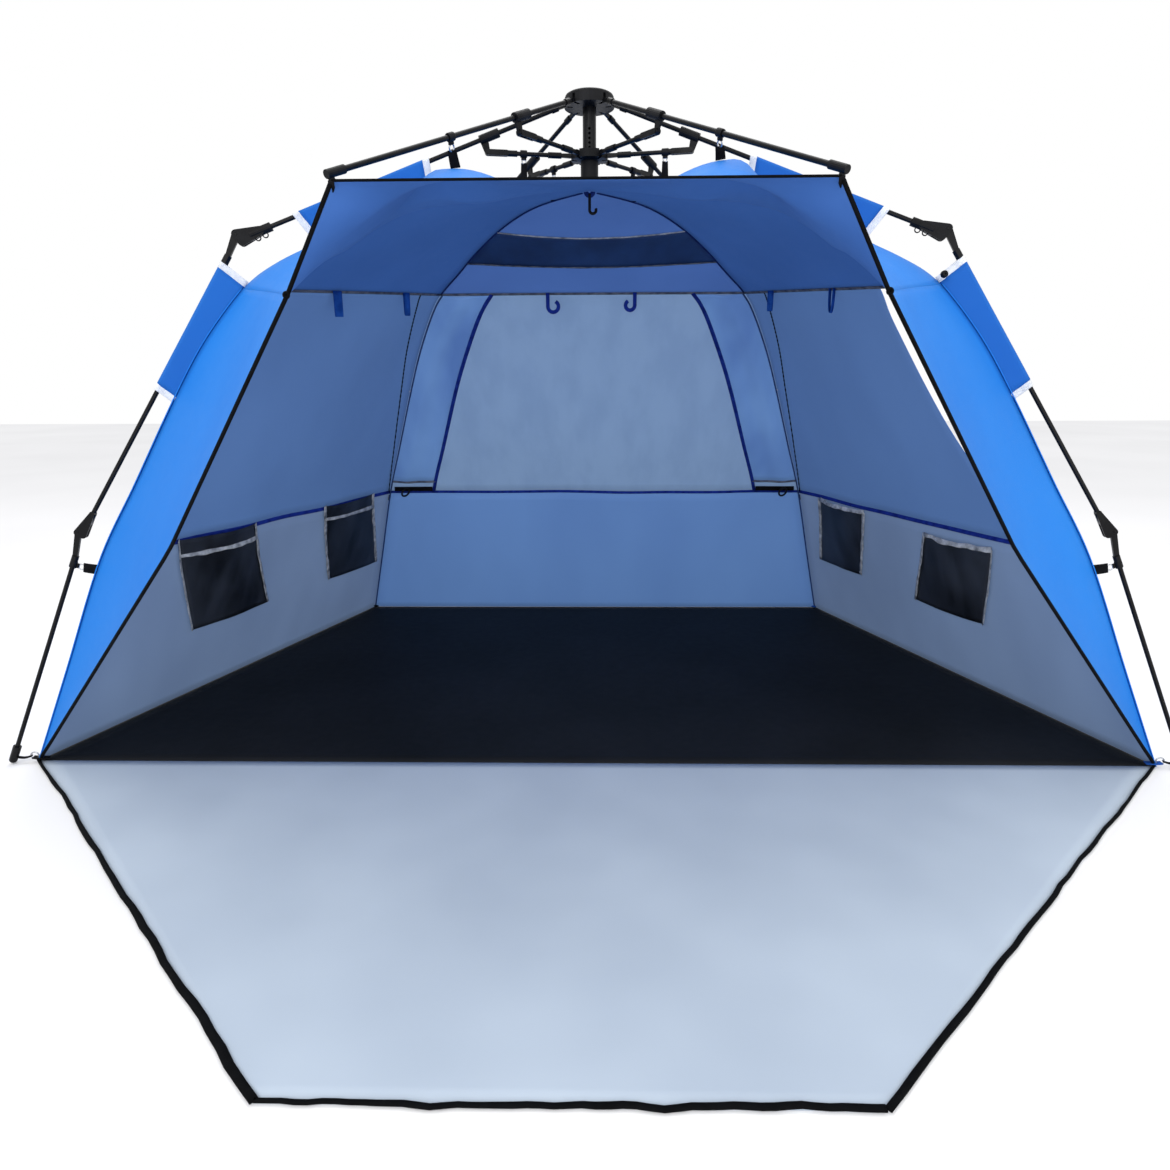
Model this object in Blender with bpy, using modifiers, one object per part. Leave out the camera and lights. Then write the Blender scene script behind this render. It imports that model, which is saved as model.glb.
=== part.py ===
"""Hub-frame beach tent: six-arm umbrella mechanism, four folding legs, hung fabric body, floor and porch.

Metres, +Z up. The origin lies on the ground under the mast, and the porch points along -Y.
"""
import math

import bmesh
import bpy
from mathutils import Vector, geometry

# Driving places, read round the mast
HUB_HEIGHT = 1.385
ARM_TILT = math.radians(22.2)
FRONT_AZIMUTH = math.radians(37.4)
SIDE_AZIMUTH = math.radians(79.25)
REAR_AZIMUTH = math.radians(140.0)
FRONT_ARM_LENGTH = 0.659
LEG_ARM_LENGTH = 0.7335
SHIN_RADIUS = 1.109
SHIN_HEIGHT = 0.522
FOOT_REACH = 1.325
CROWN_DROP = 0.163
PORCH_LENGTH = 0.845
PORCH_FRONT_WIDTH = 0.76

# Clearances and shared fastener sizes
GAP = 0.0003
RUNNING_GAP = 0.0004
PIN_RADIUS = 0.0018
PIN_SEAT = 0.0040
CUT_OVERRUN = 0.002
BITE = 0.002
SHARP_ANGLE = math.radians(35)

# Poles and their moulded fittings
POLE_RADIUS = 0.0046
POLE_SIDES = 16
FITTING_RADIUS = 0.0072
ROOT_FITTING_RADIUS = 0.0062
EYE_RADIUS = 0.0048
TONGUE_THICKNESS = 0.0056
TONGUE_LENGTH = 0.030
TONGUE_HALF_HEIGHT = 0.0036
ROOT_FITTING_LENGTH = 0.014

# Top hub, cap and mast
HUB_RADIUS = 0.052
HUB_PIVOT_RADIUS = 0.040
HUB_BELOW = 0.0078
HUB_ABOVE = 0.0085
HUB_SIDES = 48
CAP_RADIUS = 0.0505
CAP_RIM = 0.0030
CAP_DOME = 0.0090
CAP_BUTTON_RADIUS = 0.014
CAP_BUTTON_HEIGHT = 0.0035
MAST_RADIUS = 0.0140
MAST_WALL = 0.0020
MAST_LENGTH = 0.138
MAST_HOLE_COUNT = 5
MAST_HOLE_RADIUS = 0.0028
MAST_HOLE_PITCH = 0.0088
MAST_FIRST_HOLE = 0.049

# Runner, the lower hub that slides on the mast
RUNNER_PIVOT_RADIUS = 0.032
RUNNER_RADIUS = 0.0385
RUNNER_HALF_HEIGHT = 0.0078
SLEEVE_RADIUS = 0.0185
SLEEVE_LENGTH = 0.037

# Strut bracket on each arm, and the strut that reaches it
BRACKET_STATION = 0.198
BRACKET_DROP = 0.026
BRACKET_THICKNESS = 0.0048
BRACKET_SLEEVE_RADIUS = 0.0090
BRACKET_SLEEVE_LENGTH = 0.036
BRACKET_EYE_RADIUS = 0.0056
STRUT_RADIUS = 0.0043
STRUT_FITTING_RADIUS = 0.0060
STRUT_FITTING_LENGTH = 0.028
FORK_DEPTH = 0.033
FORK_CHEEK = 0.0028
FORK_EYE_RADIUS = 0.0056
RIVET_RADIUS = 0.0036
RIVET_HEIGHT = 0.0012

# Knee and shin joints
KNEE_OFFSET = 0.0105
KNEE_LEG_OFFSET = 0.0050
KNEE_TONGUE = 0.0070
KNEE_TONGUE_LENGTH = 0.046
KNEE_FITTING_LENGTH = 0.026
KNEE_EYE_RADIUS = 0.0085
KNEE_CHEEK = 0.0032
KNEE_SOCKET_RADIUS = 0.0090
KNEE_SOCKET_LENGTH = 0.070
KNEE_WEB_SETBACK = 0.024
KNEE_CHIN_DROP = 0.0060
KNEE_GROOVE_HEIGHT = 0.0070
KNEE_SHELL_RADIUS = 0.0082
KNEE_PIN_RADIUS = 0.0026
TRIGGER_RADIUS = 0.0052
TRIGGER_WIRE = 0.0013
TRIGGER_SETBACK = 0.036
TRIGGER_PITCH = 0.016
SHIN_OFFSET = 0.0082
SHIN_TONGUE_LENGTH = 0.054
SHIN_TONGUE_EYE = 0.0060
SHIN_EYE_RADIUS = 0.0070
SHIN_CHEEK = 0.0028
SHIN_HOUSING_LENGTH = 0.052
SHIN_WEB_SETBACK = 0.027
SHIN_GROOVE_HEIGHT = 0.0061
SHIN_SOCKET_RADIUS = 0.0072
FOOT_RADIUS = 0.0085
FOOT_LENGTH = 0.034

# Front arm end caps
END_CAP_RADIUS = 0.0068
END_CAP_LENGTH = 0.036
END_CAP_LUG_DROP = 0.018
END_CAP_LUG_RADIUS = 0.0048
END_CAP_LUG_THICKNESS = 0.0044

# Fabric
CLOTH = 0.0012
FOLD_INSET = 0.0009
SEAM_INSET = 0.0003
ROOF_INSET = 0.0005
WALL_SAG = 0.016
FRONT_SAG = 0.020
SLIT_SHARE = 0.18
SILL_LEVEL = 2
SEAM_LEVEL = 7
NORMAL_STEP_SHARE = 0.01
# Ridge levels up the wall: shares of the knee's height, and of the gap inside the poles
RIDGE_GAP = 0.056
RIDGE_WALL_SHARES = (0.0, 0.1968, 0.4117, 0.5577, 0.7162, 0.8190, 0.9108, 0.9546)
SIDE_GAP_SHARES = (0.946, 1.002, 1.068, 1.120, 0.888, 0.875, 1.232, 1.802)
REAR_GAP_SHARES = (0.536, 0.621, 0.720, 0.804, 0.604, 0.614, 1.000, 1.591)
# Ridge levels over the roof: shares of the knee's radius, and of the drop below the arms
RIDGE_DROP = 0.059
RIDGE_ROOF_SHARES = (0.7758, 0.6491, 0.4662, 0.2639)
RIDGE_DROP_SHARES = (1.003, 0.953, 1.122, 1.720)
# Roof's front corner, from the tip of the front arm
ROOF_CORNER_INWARD = 0.015
ROOF_CORNER_FORWARD = 0.0235
ROOF_CORNER_DROP = 0.014
ROOF_FRONT_ARCH = 0.008
# Opening's edge, from the roof's corner down to the floor's
EDGE_SEAM_SPREAD = 0.100
EDGE_SEAM_BACK = 0.0425
EDGE_SEAM_DROP = 0.157
EDGE_SILL_HALF_WIDTH = 0.800
EDGE_SILL_FORWARD = 0.379
EDGE_SILL_RISE = 0.060
FRONT_PANEL_FIRST_SHARE = 0.12
PORCH_THICKNESS = 0.0012

# Gathered window covers and wall pockets
COVER_TOP_SHARE = 0.155
COVER_FOOT_SHARE = 0.095
COVER_SEAM_SHARE = 0.06
COVER_RIM_SHARE = 0.25
COVER_FOOT_GAP_SHARE = 0.10
COVER_HEAD_GAP_SHARE = 0.15
COVER_DEPTH = 0.016
COVER_FOLD_DEPTH = 0.007
COVER_FOLD_COUNT = 3
POCKET_THICKNESS = 0.004
POCKET_TOP = 0.450
POCKET_FOOT = 0.205
POCKET_HALF_SHARE = 0.112
POCKET_FOOT_BULGE_SHARE = 0.4
FRONT_POCKET_SHARE = 0.315
FRONT_POCKET_LEAN_SHARE = 0.090
REAR_POCKET_SHARE = 0.785
REAR_POCKET_LEAN_SHARE = 0.070

# Sleeve flaps between the ridges and the poles
LOWER_FLAP_START = 0.075
LOWER_FLAP_END = 0.345
UPPER_FLAP_LENGTH = 0.270
UPPER_FLAP_KNEE_GAP = 0.1335
FLAP_POLE_GAP = 0.0009
LOWER_FLAP_LEVELS = (6.0, 4.0)
UPPER_FLAP_LEVELS = (10.0, 8.0)

# Lantern hook under the crown
HOOK_WIRE = 0.0022
HOOK_SHANK = 0.036
HOOK_BEND = 0.0075
HOOK_TURN_SHARE = 1.15

SIDES = (("left", -1), ("right", 1))
ARM_SITES = (("front", FRONT_AZIMUTH), ("side", SIDE_AZIMUTH), ("rear", REAR_AZIMUTH))

# Sizes that follow from the ones above
BRACKET_ARM = math.hypot(BRACKET_STATION, BRACKET_DROP)
BRACKET_ANGLE = ARM_TILT + math.atan2(BRACKET_DROP, BRACKET_STATION)
RUNNER_HEIGHT = HUB_HEIGHT - BRACKET_ARM * math.sin(BRACKET_ANGLE)
STRUT_LENGTH = HUB_PIVOT_RADIUS + BRACKET_ARM * math.cos(BRACKET_ANGLE) - RUNNER_PIVOT_RADIUS
KNEE_RADIUS = (HUB_PIVOT_RADIUS + LEG_ARM_LENGTH * math.cos(ARM_TILT)
               + KNEE_OFFSET * math.sin(ARM_TILT))
KNEE_HEIGHT = (HUB_HEIGHT - LEG_ARM_LENGTH * math.sin(ARM_TILT)
               + KNEE_OFFSET * math.cos(ARM_TILT))
SHIN_STEP = SHIN_OFFSET - KNEE_LEG_OFFSET
KNEE_TO_SHIN = math.hypot(SHIN_RADIUS - KNEE_RADIUS, KNEE_HEIGHT - SHIN_HEIGHT)
UPPER_LEG_LENGTH = math.sqrt(KNEE_TO_SHIN ** 2 - SHIN_STEP ** 2)
UPPER_LEG_TILT = (math.atan2(KNEE_HEIGHT - SHIN_HEIGHT, SHIN_RADIUS - KNEE_RADIUS)
                  + math.asin(SHIN_STEP / KNEE_TO_SHIN))
SHIN_TO_FOOT = math.hypot(FOOT_REACH - SHIN_RADIUS, SHIN_HEIGHT - FOOT_RADIUS)
LOWER_LEG_LENGTH = math.sqrt(SHIN_TO_FOOT ** 2 - SHIN_OFFSET ** 2)
LOWER_LEG_TILT = (math.atan2(SHIN_HEIGHT - FOOT_RADIUS, FOOT_REACH - SHIN_RADIUS)
                  - math.asin(SHIN_OFFSET / SHIN_TO_FOOT))
SLOT_WIDTH = TONGUE_THICKNESS + 2 * RUNNING_GAP
FORK_GAP = BRACKET_THICKNESS + 2 * RUNNING_GAP
KNEE_GAP = KNEE_TONGUE + 2 * RUNNING_GAP
CROWN_HEIGHT = HUB_HEIGHT - CROWN_DROP
UPPER_FLAP_END = LEG_ARM_LENGTH - UPPER_FLAP_KNEE_GAP
UPPER_FLAP_START = UPPER_FLAP_END - UPPER_FLAP_LENGTH
WALL_FOOT_HEIGHT = CLOTH + CLOTH / 2 + GAP
FRONT_TIP_RADIUS = HUB_PIVOT_RADIUS + FRONT_ARM_LENGTH * math.cos(ARM_TILT)
FRONT_TIP_HEIGHT = HUB_HEIGHT - FRONT_ARM_LENGTH * math.sin(ARM_TILT)


# Scene and materials

def clear_scene():
    """Remove whatever the opened scene holds."""
    for obj in list(bpy.data.objects):
        bpy.data.objects.remove(obj)


def make_material(name, colour, roughness, metallic):
    """A plain surface finish."""
    material = bpy.data.materials.new(name)
    material.use_nodes = True
    shader = material.node_tree.nodes["Principled BSDF"]
    shader.inputs["Base Color"].default_value = (*colour, 1.0)
    shader.inputs["Roughness"].default_value = roughness
    shader.inputs["Metallic"].default_value = metallic
    material.diffuse_color = (*colour, 1.0)
    return material


clear_scene()
tent = bpy.data.collections.new("beach_tent")
bpy.context.scene.collection.children.link(tent)
cutters = bpy.data.collections.new("cutters")
bpy.context.scene.collection.children.link(cutters)

PLASTIC = make_material("moulded_plastic", (0.018, 0.019, 0.021), 0.45, 0.0)
STEEL = make_material("black_pole", (0.022, 0.023, 0.026), 0.35, 0.6)
BLUE = make_material("blue_cloth", (0.035, 0.28, 0.85), 0.75, 0.0)
LINING = make_material("lining_cloth", (0.09, 0.15, 0.34), 0.8, 0.0)
WINDOW = make_material("window_cloth", (0.17, 0.26, 0.44), 0.7, 0.0)
PORCH = make_material("porch_cloth", (0.48, 0.56, 0.68), 0.65, 0.0)
FLOOR = make_material("floor_cloth", (0.006, 0.008, 0.012), 0.6, 0.0)
MESH = make_material("pocket_mesh", (0.012, 0.016, 0.024), 0.85, 0.0)


# Meshes from modelling tools

def evaluated_mesh(obj):
    """The object's mesh with its modifiers applied; the object goes."""
    bpy.context.view_layer.update()
    depsgraph = bpy.context.evaluated_depsgraph_get()
    mesh = bpy.data.meshes.new_from_object(obj.evaluated_get(depsgraph), depsgraph=depsgraph)
    bpy.data.objects.remove(obj)
    return mesh


def helper_object(data, name="helper"):
    """A hidden working object in the cutter collection."""
    obj = bpy.data.objects.new(name, data)
    obj.hide_render = True
    cutters.objects.link(obj)
    return obj


def cleaned(mesh, turn=None):
    """Weld loose caps, turn the mesh if asked and point its faces out."""
    shape = bmesh.new()
    shape.from_mesh(mesh)
    bmesh.ops.remove_doubles(shape, verts=shape.verts, dist=GAP / 20)
    if turn is not None:
        bmesh.ops.transform(shape, matrix=turn, verts=shape.verts)
    bmesh.ops.recalc_face_normals(shape, faces=shape.faces)
    shape.to_mesh(mesh)
    shape.free()
    return mesh


def along_x(offset_x=0.0, offset_z=0.0):
    """Turns a shape built up +Z so that it runs along +X, then moves it."""
    from_z = Vector((0, 0, 1)).rotation_difference(Vector((1, 0, 0))).to_matrix().to_4x4()
    from_z.translation = Vector((offset_x, 0, offset_z))
    return from_z


def turned(profile, turn=None, sides=POLE_SIDES):
    """A closed turned solid; profile is (radius, height) from its top to its foot."""
    mesh = bpy.data.meshes.new("profile")
    points = [(radius, 0, height) for radius, height in profile]
    edges = [(i, i + 1) for i in range(len(points) - 1)]
    mesh.from_pydata(points, edges, [])
    obj = helper_object(mesh)
    screw = obj.modifiers.new("screw", "SCREW")
    screw.steps = sides
    screw.render_steps = sides
    screw.use_merge_vertices = True
    screw.merge_threshold = GAP / 20
    return cleaned(evaluated_mesh(obj), turn)


def rod(start, end, radius, offset_z=0.0, sides=POLE_SIDES):
    """A plain rod along +X."""
    profile = [(0, end - start), (radius, end - start), (radius, 0), (0, 0)]
    return turned(profile, along_x(start, offset_z), sides)


def circle_points(x, z, radius, steps=14):
    """Points round a circle of an outline."""
    return [(x + radius * math.cos(math.tau * i / steps), z + radius * math.sin(math.tau * i / steps))
            for i in range(steps)]


def plate(circles, thickness, offset_y=0.0, steps=14):
    """A flat plate in the XZ plane, drawn tight round some circles (x, z, radius)."""
    cloud = [Vector(point) for circle in circles for point in circle_points(*circle, steps)]
    outline = [cloud[i] for i in geometry.convex_hull_2d(cloud)]
    curve = bpy.data.curves.new("outline", "CURVE")
    curve.dimensions = "2D"
    curve.fill_mode = "BOTH"
    curve.extrude = thickness / 2
    spline = curve.splines.new("POLY")
    spline.points.add(len(outline) - 1)
    for point, (x, z) in zip(spline.points, outline):
        point.co = (x, z, 0, 1)
    spline.use_cyclic_u = True
    stand = Vector((0, 0, 1)).rotation_difference(Vector((0, -1, 0))).to_matrix().to_4x4()
    stand.translation = Vector((0, offset_y, 0))
    return cleaned(evaluated_mesh(helper_object(curve)), stand)


def cross_pin(x, z, radius, length, offset_y=0.0, sides=12):
    """A round pin across the XZ plane."""
    shape = bmesh.new()
    bmesh.ops.create_cone(shape, cap_ends=True, segments=sides, radius1=radius, radius2=radius, depth=length)
    across = Vector((0, 0, 1)).rotation_difference(Vector((0, 1, 0))).to_matrix().to_4x4()
    across.translation = Vector((x, offset_y, z))
    bmesh.ops.transform(shape, matrix=across, verts=shape.verts)
    mesh = bpy.data.meshes.new("pin")
    shape.to_mesh(mesh)
    shape.free()
    return mesh


def block(low, high):
    """A box between two corners."""
    shape = bmesh.new()
    bmesh.ops.create_cube(shape, size=1)
    size = [high[i] - low[i] for i in range(3)]
    bmesh.ops.scale(shape, vec=size, verts=shape.verts)
    bmesh.ops.translate(shape, vec=[low[i] + size[i] / 2 for i in range(3)], verts=shape.verts)
    mesh = bpy.data.meshes.new("block")
    shape.to_mesh(mesh)
    shape.free()
    return mesh


def combined(base, others, operation):
    """Boolean of one mesh with each of the others in turn."""
    obj = helper_object(base)
    tools = [helper_object(mesh) for mesh in others]
    for tool in tools:
        tool.display_type = "WIRE"
        boolean = obj.modifiers.new(operation.lower(), "BOOLEAN")
        boolean.operation = operation
        boolean.solver = "EXACT"
        boolean.object = tool
    mesh = evaluated_mesh(obj)
    for tool in tools:
        bpy.data.objects.remove(tool)
    return cleaned(mesh)


def united(base, *others):
    """One solid from several that run into each other."""
    return combined(base, others, "UNION")


def cut(base, *others):
    """A solid with others taken away."""
    return combined(base, others, "DIFFERENCE")


def turned_copy(mesh, angle):
    """A copy of a mesh, turned about the mast."""
    shape = bmesh.new()
    shape.from_mesh(mesh)
    about = Vector((1, 0, 0)).rotation_difference(Vector((math.cos(angle), math.sin(angle), 0)))
    bmesh.ops.rotate(shape, verts=shape.verts, matrix=about.to_matrix())
    copy = bpy.data.meshes.new("copy")
    shape.to_mesh(copy)
    shape.free()
    return copy


def place(name, mesh, material, parent=None, location=(0, 0, 0)):
    """A named piece of the tent."""
    if not mesh.materials:
        mesh.materials.append(material)
    mesh.shade_smooth()
    mesh.set_sharp_from_angle(angle=SHARP_ANGLE)
    obj = bpy.data.objects.new(name, mesh)
    obj.location = location
    obj.parent = parent
    tent.objects.link(obj)
    return obj


def pivot(name, location, rotation, parent=None):
    """An empty on a joint's axis."""
    empty = bpy.data.objects.new(name, None)
    empty.location = location
    empty.rotation_euler = rotation
    empty.parent = parent
    tent.objects.link(empty)
    return empty


def heading(azimuth, side):
    """Angle from +X of a leg's plane; azimuth opens from -Y."""
    return math.atan2(-math.cos(azimuth), side * math.sin(azimuth))


# Hub, cap, mast and runner

def slotted_drum(body, pivot_radius, low, high):
    """Cut the six arm slots and their pin seats into a turned drum."""
    slot_start = pivot_radius - EYE_RADIUS - 2 * RUNNING_GAP
    slot = block((slot_start, -SLOT_WIDTH / 2, low - CUT_OVERRUN),
                 (HUB_RADIUS + CUT_OVERRUN, SLOT_WIDTH / 2, high + CUT_OVERRUN))
    seat = cross_pin(pivot_radius, 0, PIN_RADIUS + RUNNING_GAP,
                     SLOT_WIDTH + 2 * (PIN_SEAT + RUNNING_GAP))
    headings = [heading(azimuth, side) for _, azimuth in ARM_SITES for _, side in SIDES]
    slots = [turned_copy(slot, angle) for angle in headings]
    seats = [turned_copy(seat, angle) for angle in headings]
    return cut(body, *slots, *seats)


def build_hub(frame):
    """Top hub, its cap and the mast, all fixed together."""
    bore = MAST_RADIUS + GAP
    hub = turned([(bore, HUB_ABOVE), (HUB_RADIUS, HUB_ABOVE), (HUB_RADIUS, -HUB_BELOW),
                  (bore, -HUB_BELOW), (bore, HUB_ABOVE)], sides=HUB_SIDES)
    place("top_hub", slotted_drum(hub, HUB_PIVOT_RADIUS, -HUB_BELOW, HUB_ABOVE), PLASTIC, frame)
    foot = HUB_ABOVE + GAP
    arc_steps = 6
    dome = [(CAP_BUTTON_RADIUS + (CAP_RADIUS - CAP_BUTTON_RADIUS) * math.sin(math.pi / 2 * i / arc_steps),
             foot + CAP_RIM + CAP_DOME * math.cos(math.pi / 2 * i / arc_steps))
            for i in range(arc_steps + 1)]
    top = dome[0][1] + CAP_BUTTON_HEIGHT
    button = [(0, top), (CAP_BUTTON_RADIUS - CAP_RIM, top), (CAP_BUTTON_RADIUS, dome[0][1] + CAP_RIM / 2)]
    cap = turned(button + dome + [(CAP_RADIUS, foot), (0, foot)], sides=HUB_SIDES)
    place("hub_cap", cap, PLASTIC, frame)
    inner = MAST_RADIUS - MAST_WALL
    head = HUB_ABOVE - GAP
    mast = turned([(inner, head), (MAST_RADIUS, head), (MAST_RADIUS, -MAST_LENGTH),
                   (inner, -MAST_LENGTH), (inner, head)], sides=24)
    holes = [cross_pin(0, -MAST_FIRST_HOLE - i * MAST_HOLE_PITCH, MAST_HOLE_RADIUS, MAST_RADIUS,
                       -MAST_RADIUS, sides=10) for i in range(MAST_HOLE_COUNT)]
    place("mast_tube", cut(mast, *holes), STEEL, frame)


def build_runner(frame):
    """The lower hub with its slots and its grip sleeve."""
    bore = MAST_RADIUS + RUNNING_GAP
    foot = -RUNNER_HALF_HEIGHT - SLEEVE_LENGTH
    body = turned([(bore, RUNNER_HALF_HEIGHT), (RUNNER_RADIUS, RUNNER_HALF_HEIGHT),
                   (RUNNER_RADIUS, -RUNNER_HALF_HEIGHT), (SLEEVE_RADIUS, -RUNNER_HALF_HEIGHT - BITE),
                   (SLEEVE_RADIUS, foot), (bore, foot), (bore, RUNNER_HALF_HEIGHT)], sides=HUB_SIDES)
    mesh = slotted_drum(body, RUNNER_PIVOT_RADIUS, -RUNNER_HALF_HEIGHT, RUNNER_HALF_HEIGHT)
    place("runner", mesh, PLASTIC, frame)


# Arms, brackets and struts

def eye_root(tongue_length=TONGUE_LENGTH):
    """Tongue with its eye and pin ends, for a hub slot."""
    tongue = plate([(0, 0, EYE_RADIUS), (tongue_length, 0, TONGUE_HALF_HEIGHT)], TONGUE_THICKNESS)
    pin = cross_pin(0, 0, PIN_RADIUS, SLOT_WIDTH + 2 * PIN_SEAT)
    return tongue, pin


def arm_mesh(pole_end):
    """A roof pole with the fitting that hinges in the top hub."""
    tongue, pin = eye_root()
    fitting_start = TONGUE_LENGTH - BITE
    profile = [(0, pole_end), (POLE_RADIUS, pole_end),
               (POLE_RADIUS, fitting_start + ROOT_FITTING_LENGTH),
               (ROOT_FITTING_RADIUS, fitting_start + ROOT_FITTING_LENGTH),
               (ROOT_FITTING_RADIUS, fitting_start), (0, fitting_start)]
    return united(turned(profile, along_x()), tongue, pin)


def bracket_mesh():
    """Sleeve on the arm with the leg that takes the strut."""
    sleeve = rod(BRACKET_STATION - BRACKET_SLEEVE_LENGTH, BRACKET_STATION + BRACKET_EYE_RADIUS,
                 BRACKET_SLEEVE_RADIUS)
    leg = plate([(BRACKET_STATION - BRACKET_EYE_RADIUS / 2, 0, BRACKET_SLEEVE_RADIUS),
                 (BRACKET_STATION, -BRACKET_DROP, BRACKET_EYE_RADIUS)], BRACKET_THICKNESS)
    bore = rod(BRACKET_STATION - BRACKET_SLEEVE_LENGTH - CUT_OVERRUN,
               BRACKET_STATION + BRACKET_SLEEVE_RADIUS + CUT_OVERRUN, POLE_RADIUS + GAP)
    return cut(united(sleeve, leg), bore)


def strut_mesh():
    """Strut with a tongue at the runner and an open fork at the bracket."""
    tongue, pin = eye_root()
    first = TONGUE_LENGTH - BITE
    last = STRUT_LENGTH - FORK_DEPTH
    profile = [(0, last), (STRUT_FITTING_RADIUS, last),
               (STRUT_FITTING_RADIUS, last - STRUT_FITTING_LENGTH),
               (STRUT_RADIUS, last - STRUT_FITTING_LENGTH),
               (STRUT_RADIUS, first + STRUT_FITTING_LENGTH),
               (STRUT_FITTING_RADIUS, first + STRUT_FITTING_LENGTH),
               (STRUT_FITTING_RADIUS, first), (0, first)]
    shaft = turned(profile, along_x())
    web = plate([(last - FORK_EYE_RADIUS, 0, FORK_EYE_RADIUS), (last, 0, FORK_EYE_RADIUS)],
                FORK_GAP + 2 * FORK_CHEEK)
    outer = FORK_GAP + 2 * FORK_CHEEK
    fork = plate([(last - FORK_EYE_RADIUS, 0, FORK_EYE_RADIUS), (STRUT_LENGTH, 0, FORK_EYE_RADIUS)], outer)
    rivet = cross_pin(STRUT_LENGTH, 0, RIVET_RADIUS, outer + 2 * RIVET_HEIGHT)
    mouth = block((last, -FORK_GAP / 2, -2 * FORK_EYE_RADIUS),
                  (STRUT_LENGTH + 2 * FORK_EYE_RADIUS, FORK_GAP / 2, 2 * FORK_EYE_RADIUS))
    return cut(united(shaft, tongue, pin, web, fork, rivet), mouth)


def end_cap_mesh():
    """Cap on a front arm's tip, with the lug that holds the roof's corner strap."""
    start = FRONT_ARM_LENGTH - END_CAP_LENGTH
    cap = rod(start, FRONT_ARM_LENGTH, END_CAP_RADIUS)
    lug_x = FRONT_ARM_LENGTH - END_CAP_RADIUS
    lug = plate([(lug_x, 0, END_CAP_LUG_RADIUS), (lug_x, -END_CAP_LUG_DROP, END_CAP_LUG_RADIUS)],
                END_CAP_LUG_THICKNESS)
    eye = cross_pin(lug_x, -END_CAP_LUG_DROP, END_CAP_LUG_RADIUS / 2, 2 * END_CAP_LUG_THICKNESS)
    socket = rod(start - CUT_OVERRUN, FRONT_ARM_LENGTH - END_CAP_RADIUS, POLE_RADIUS + GAP)
    return cut(united(cap, lug), eye, socket)


# Legs

def trigger(x):
    """One of the two release loops under a knee."""
    curve = bpy.data.curves.new("trigger_line", "CURVE")
    curve.dimensions = "3D"
    curve.bevel_depth = TRIGGER_WIRE
    curve.bevel_resolution = 1
    spline = curve.splines.new("POLY")
    ring_steps = 12
    spline.points.add(ring_steps - 1)
    spline.use_cyclic_u = True
    centre = -KNEE_SOCKET_RADIUS - TRIGGER_WIRE
    for i, point in enumerate(spline.points):
        angle = math.tau * i / ring_steps
        across = x + TRIGGER_RADIUS * math.cos(angle)
        point.co = (across, 0, centre + TRIGGER_RADIUS * math.sin(angle), 1)
    return cleaned(evaluated_mesh(helper_object(curve)))


def knee_mesh():
    """Knee housing: a socket on the arm, two cheeks round the leg's tongue, two triggers."""
    end = LEG_ARM_LENGTH - KNEE_WEB_SETBACK
    start = LEG_ARM_LENGTH - KNEE_SOCKET_LENGTH
    width = KNEE_GAP + 2 * KNEE_CHEEK
    socket = rod(start, end, KNEE_SOCKET_RADIUS)
    shell = plate([(start + KNEE_SOCKET_LENGTH / 3, 0, KNEE_SHELL_RADIUS),
                   (LEG_ARM_LENGTH, KNEE_OFFSET, KNEE_EYE_RADIUS),
                   (LEG_ARM_LENGTH - KNEE_EYE_RADIUS / 2, -KNEE_CHIN_DROP, KNEE_EYE_RADIUS)], width)
    reach = KNEE_SOCKET_LENGTH
    mouth = block((end, -KNEE_GAP / 2, -reach), (LEG_ARM_LENGTH + reach, KNEE_GAP / 2, reach))
    roof = block((start - CUT_OVERRUN, -KNEE_GAP / 2, KNEE_GROOVE_HEIGHT),
                 (LEG_ARM_LENGTH, KNEE_GAP / 2, KNEE_SOCKET_LENGTH))
    bore = rod(start - CUT_OVERRUN, end - BITE, POLE_RADIUS + GAP)
    seat = cross_pin(LEG_ARM_LENGTH, KNEE_OFFSET, KNEE_PIN_RADIUS + RUNNING_GAP, 2 * width)
    first = LEG_ARM_LENGTH - TRIGGER_SETBACK
    body = united(socket, shell, trigger(first - TRIGGER_PITCH), trigger(first))
    return cut(body, mouth, roof, bore, seat)


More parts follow.
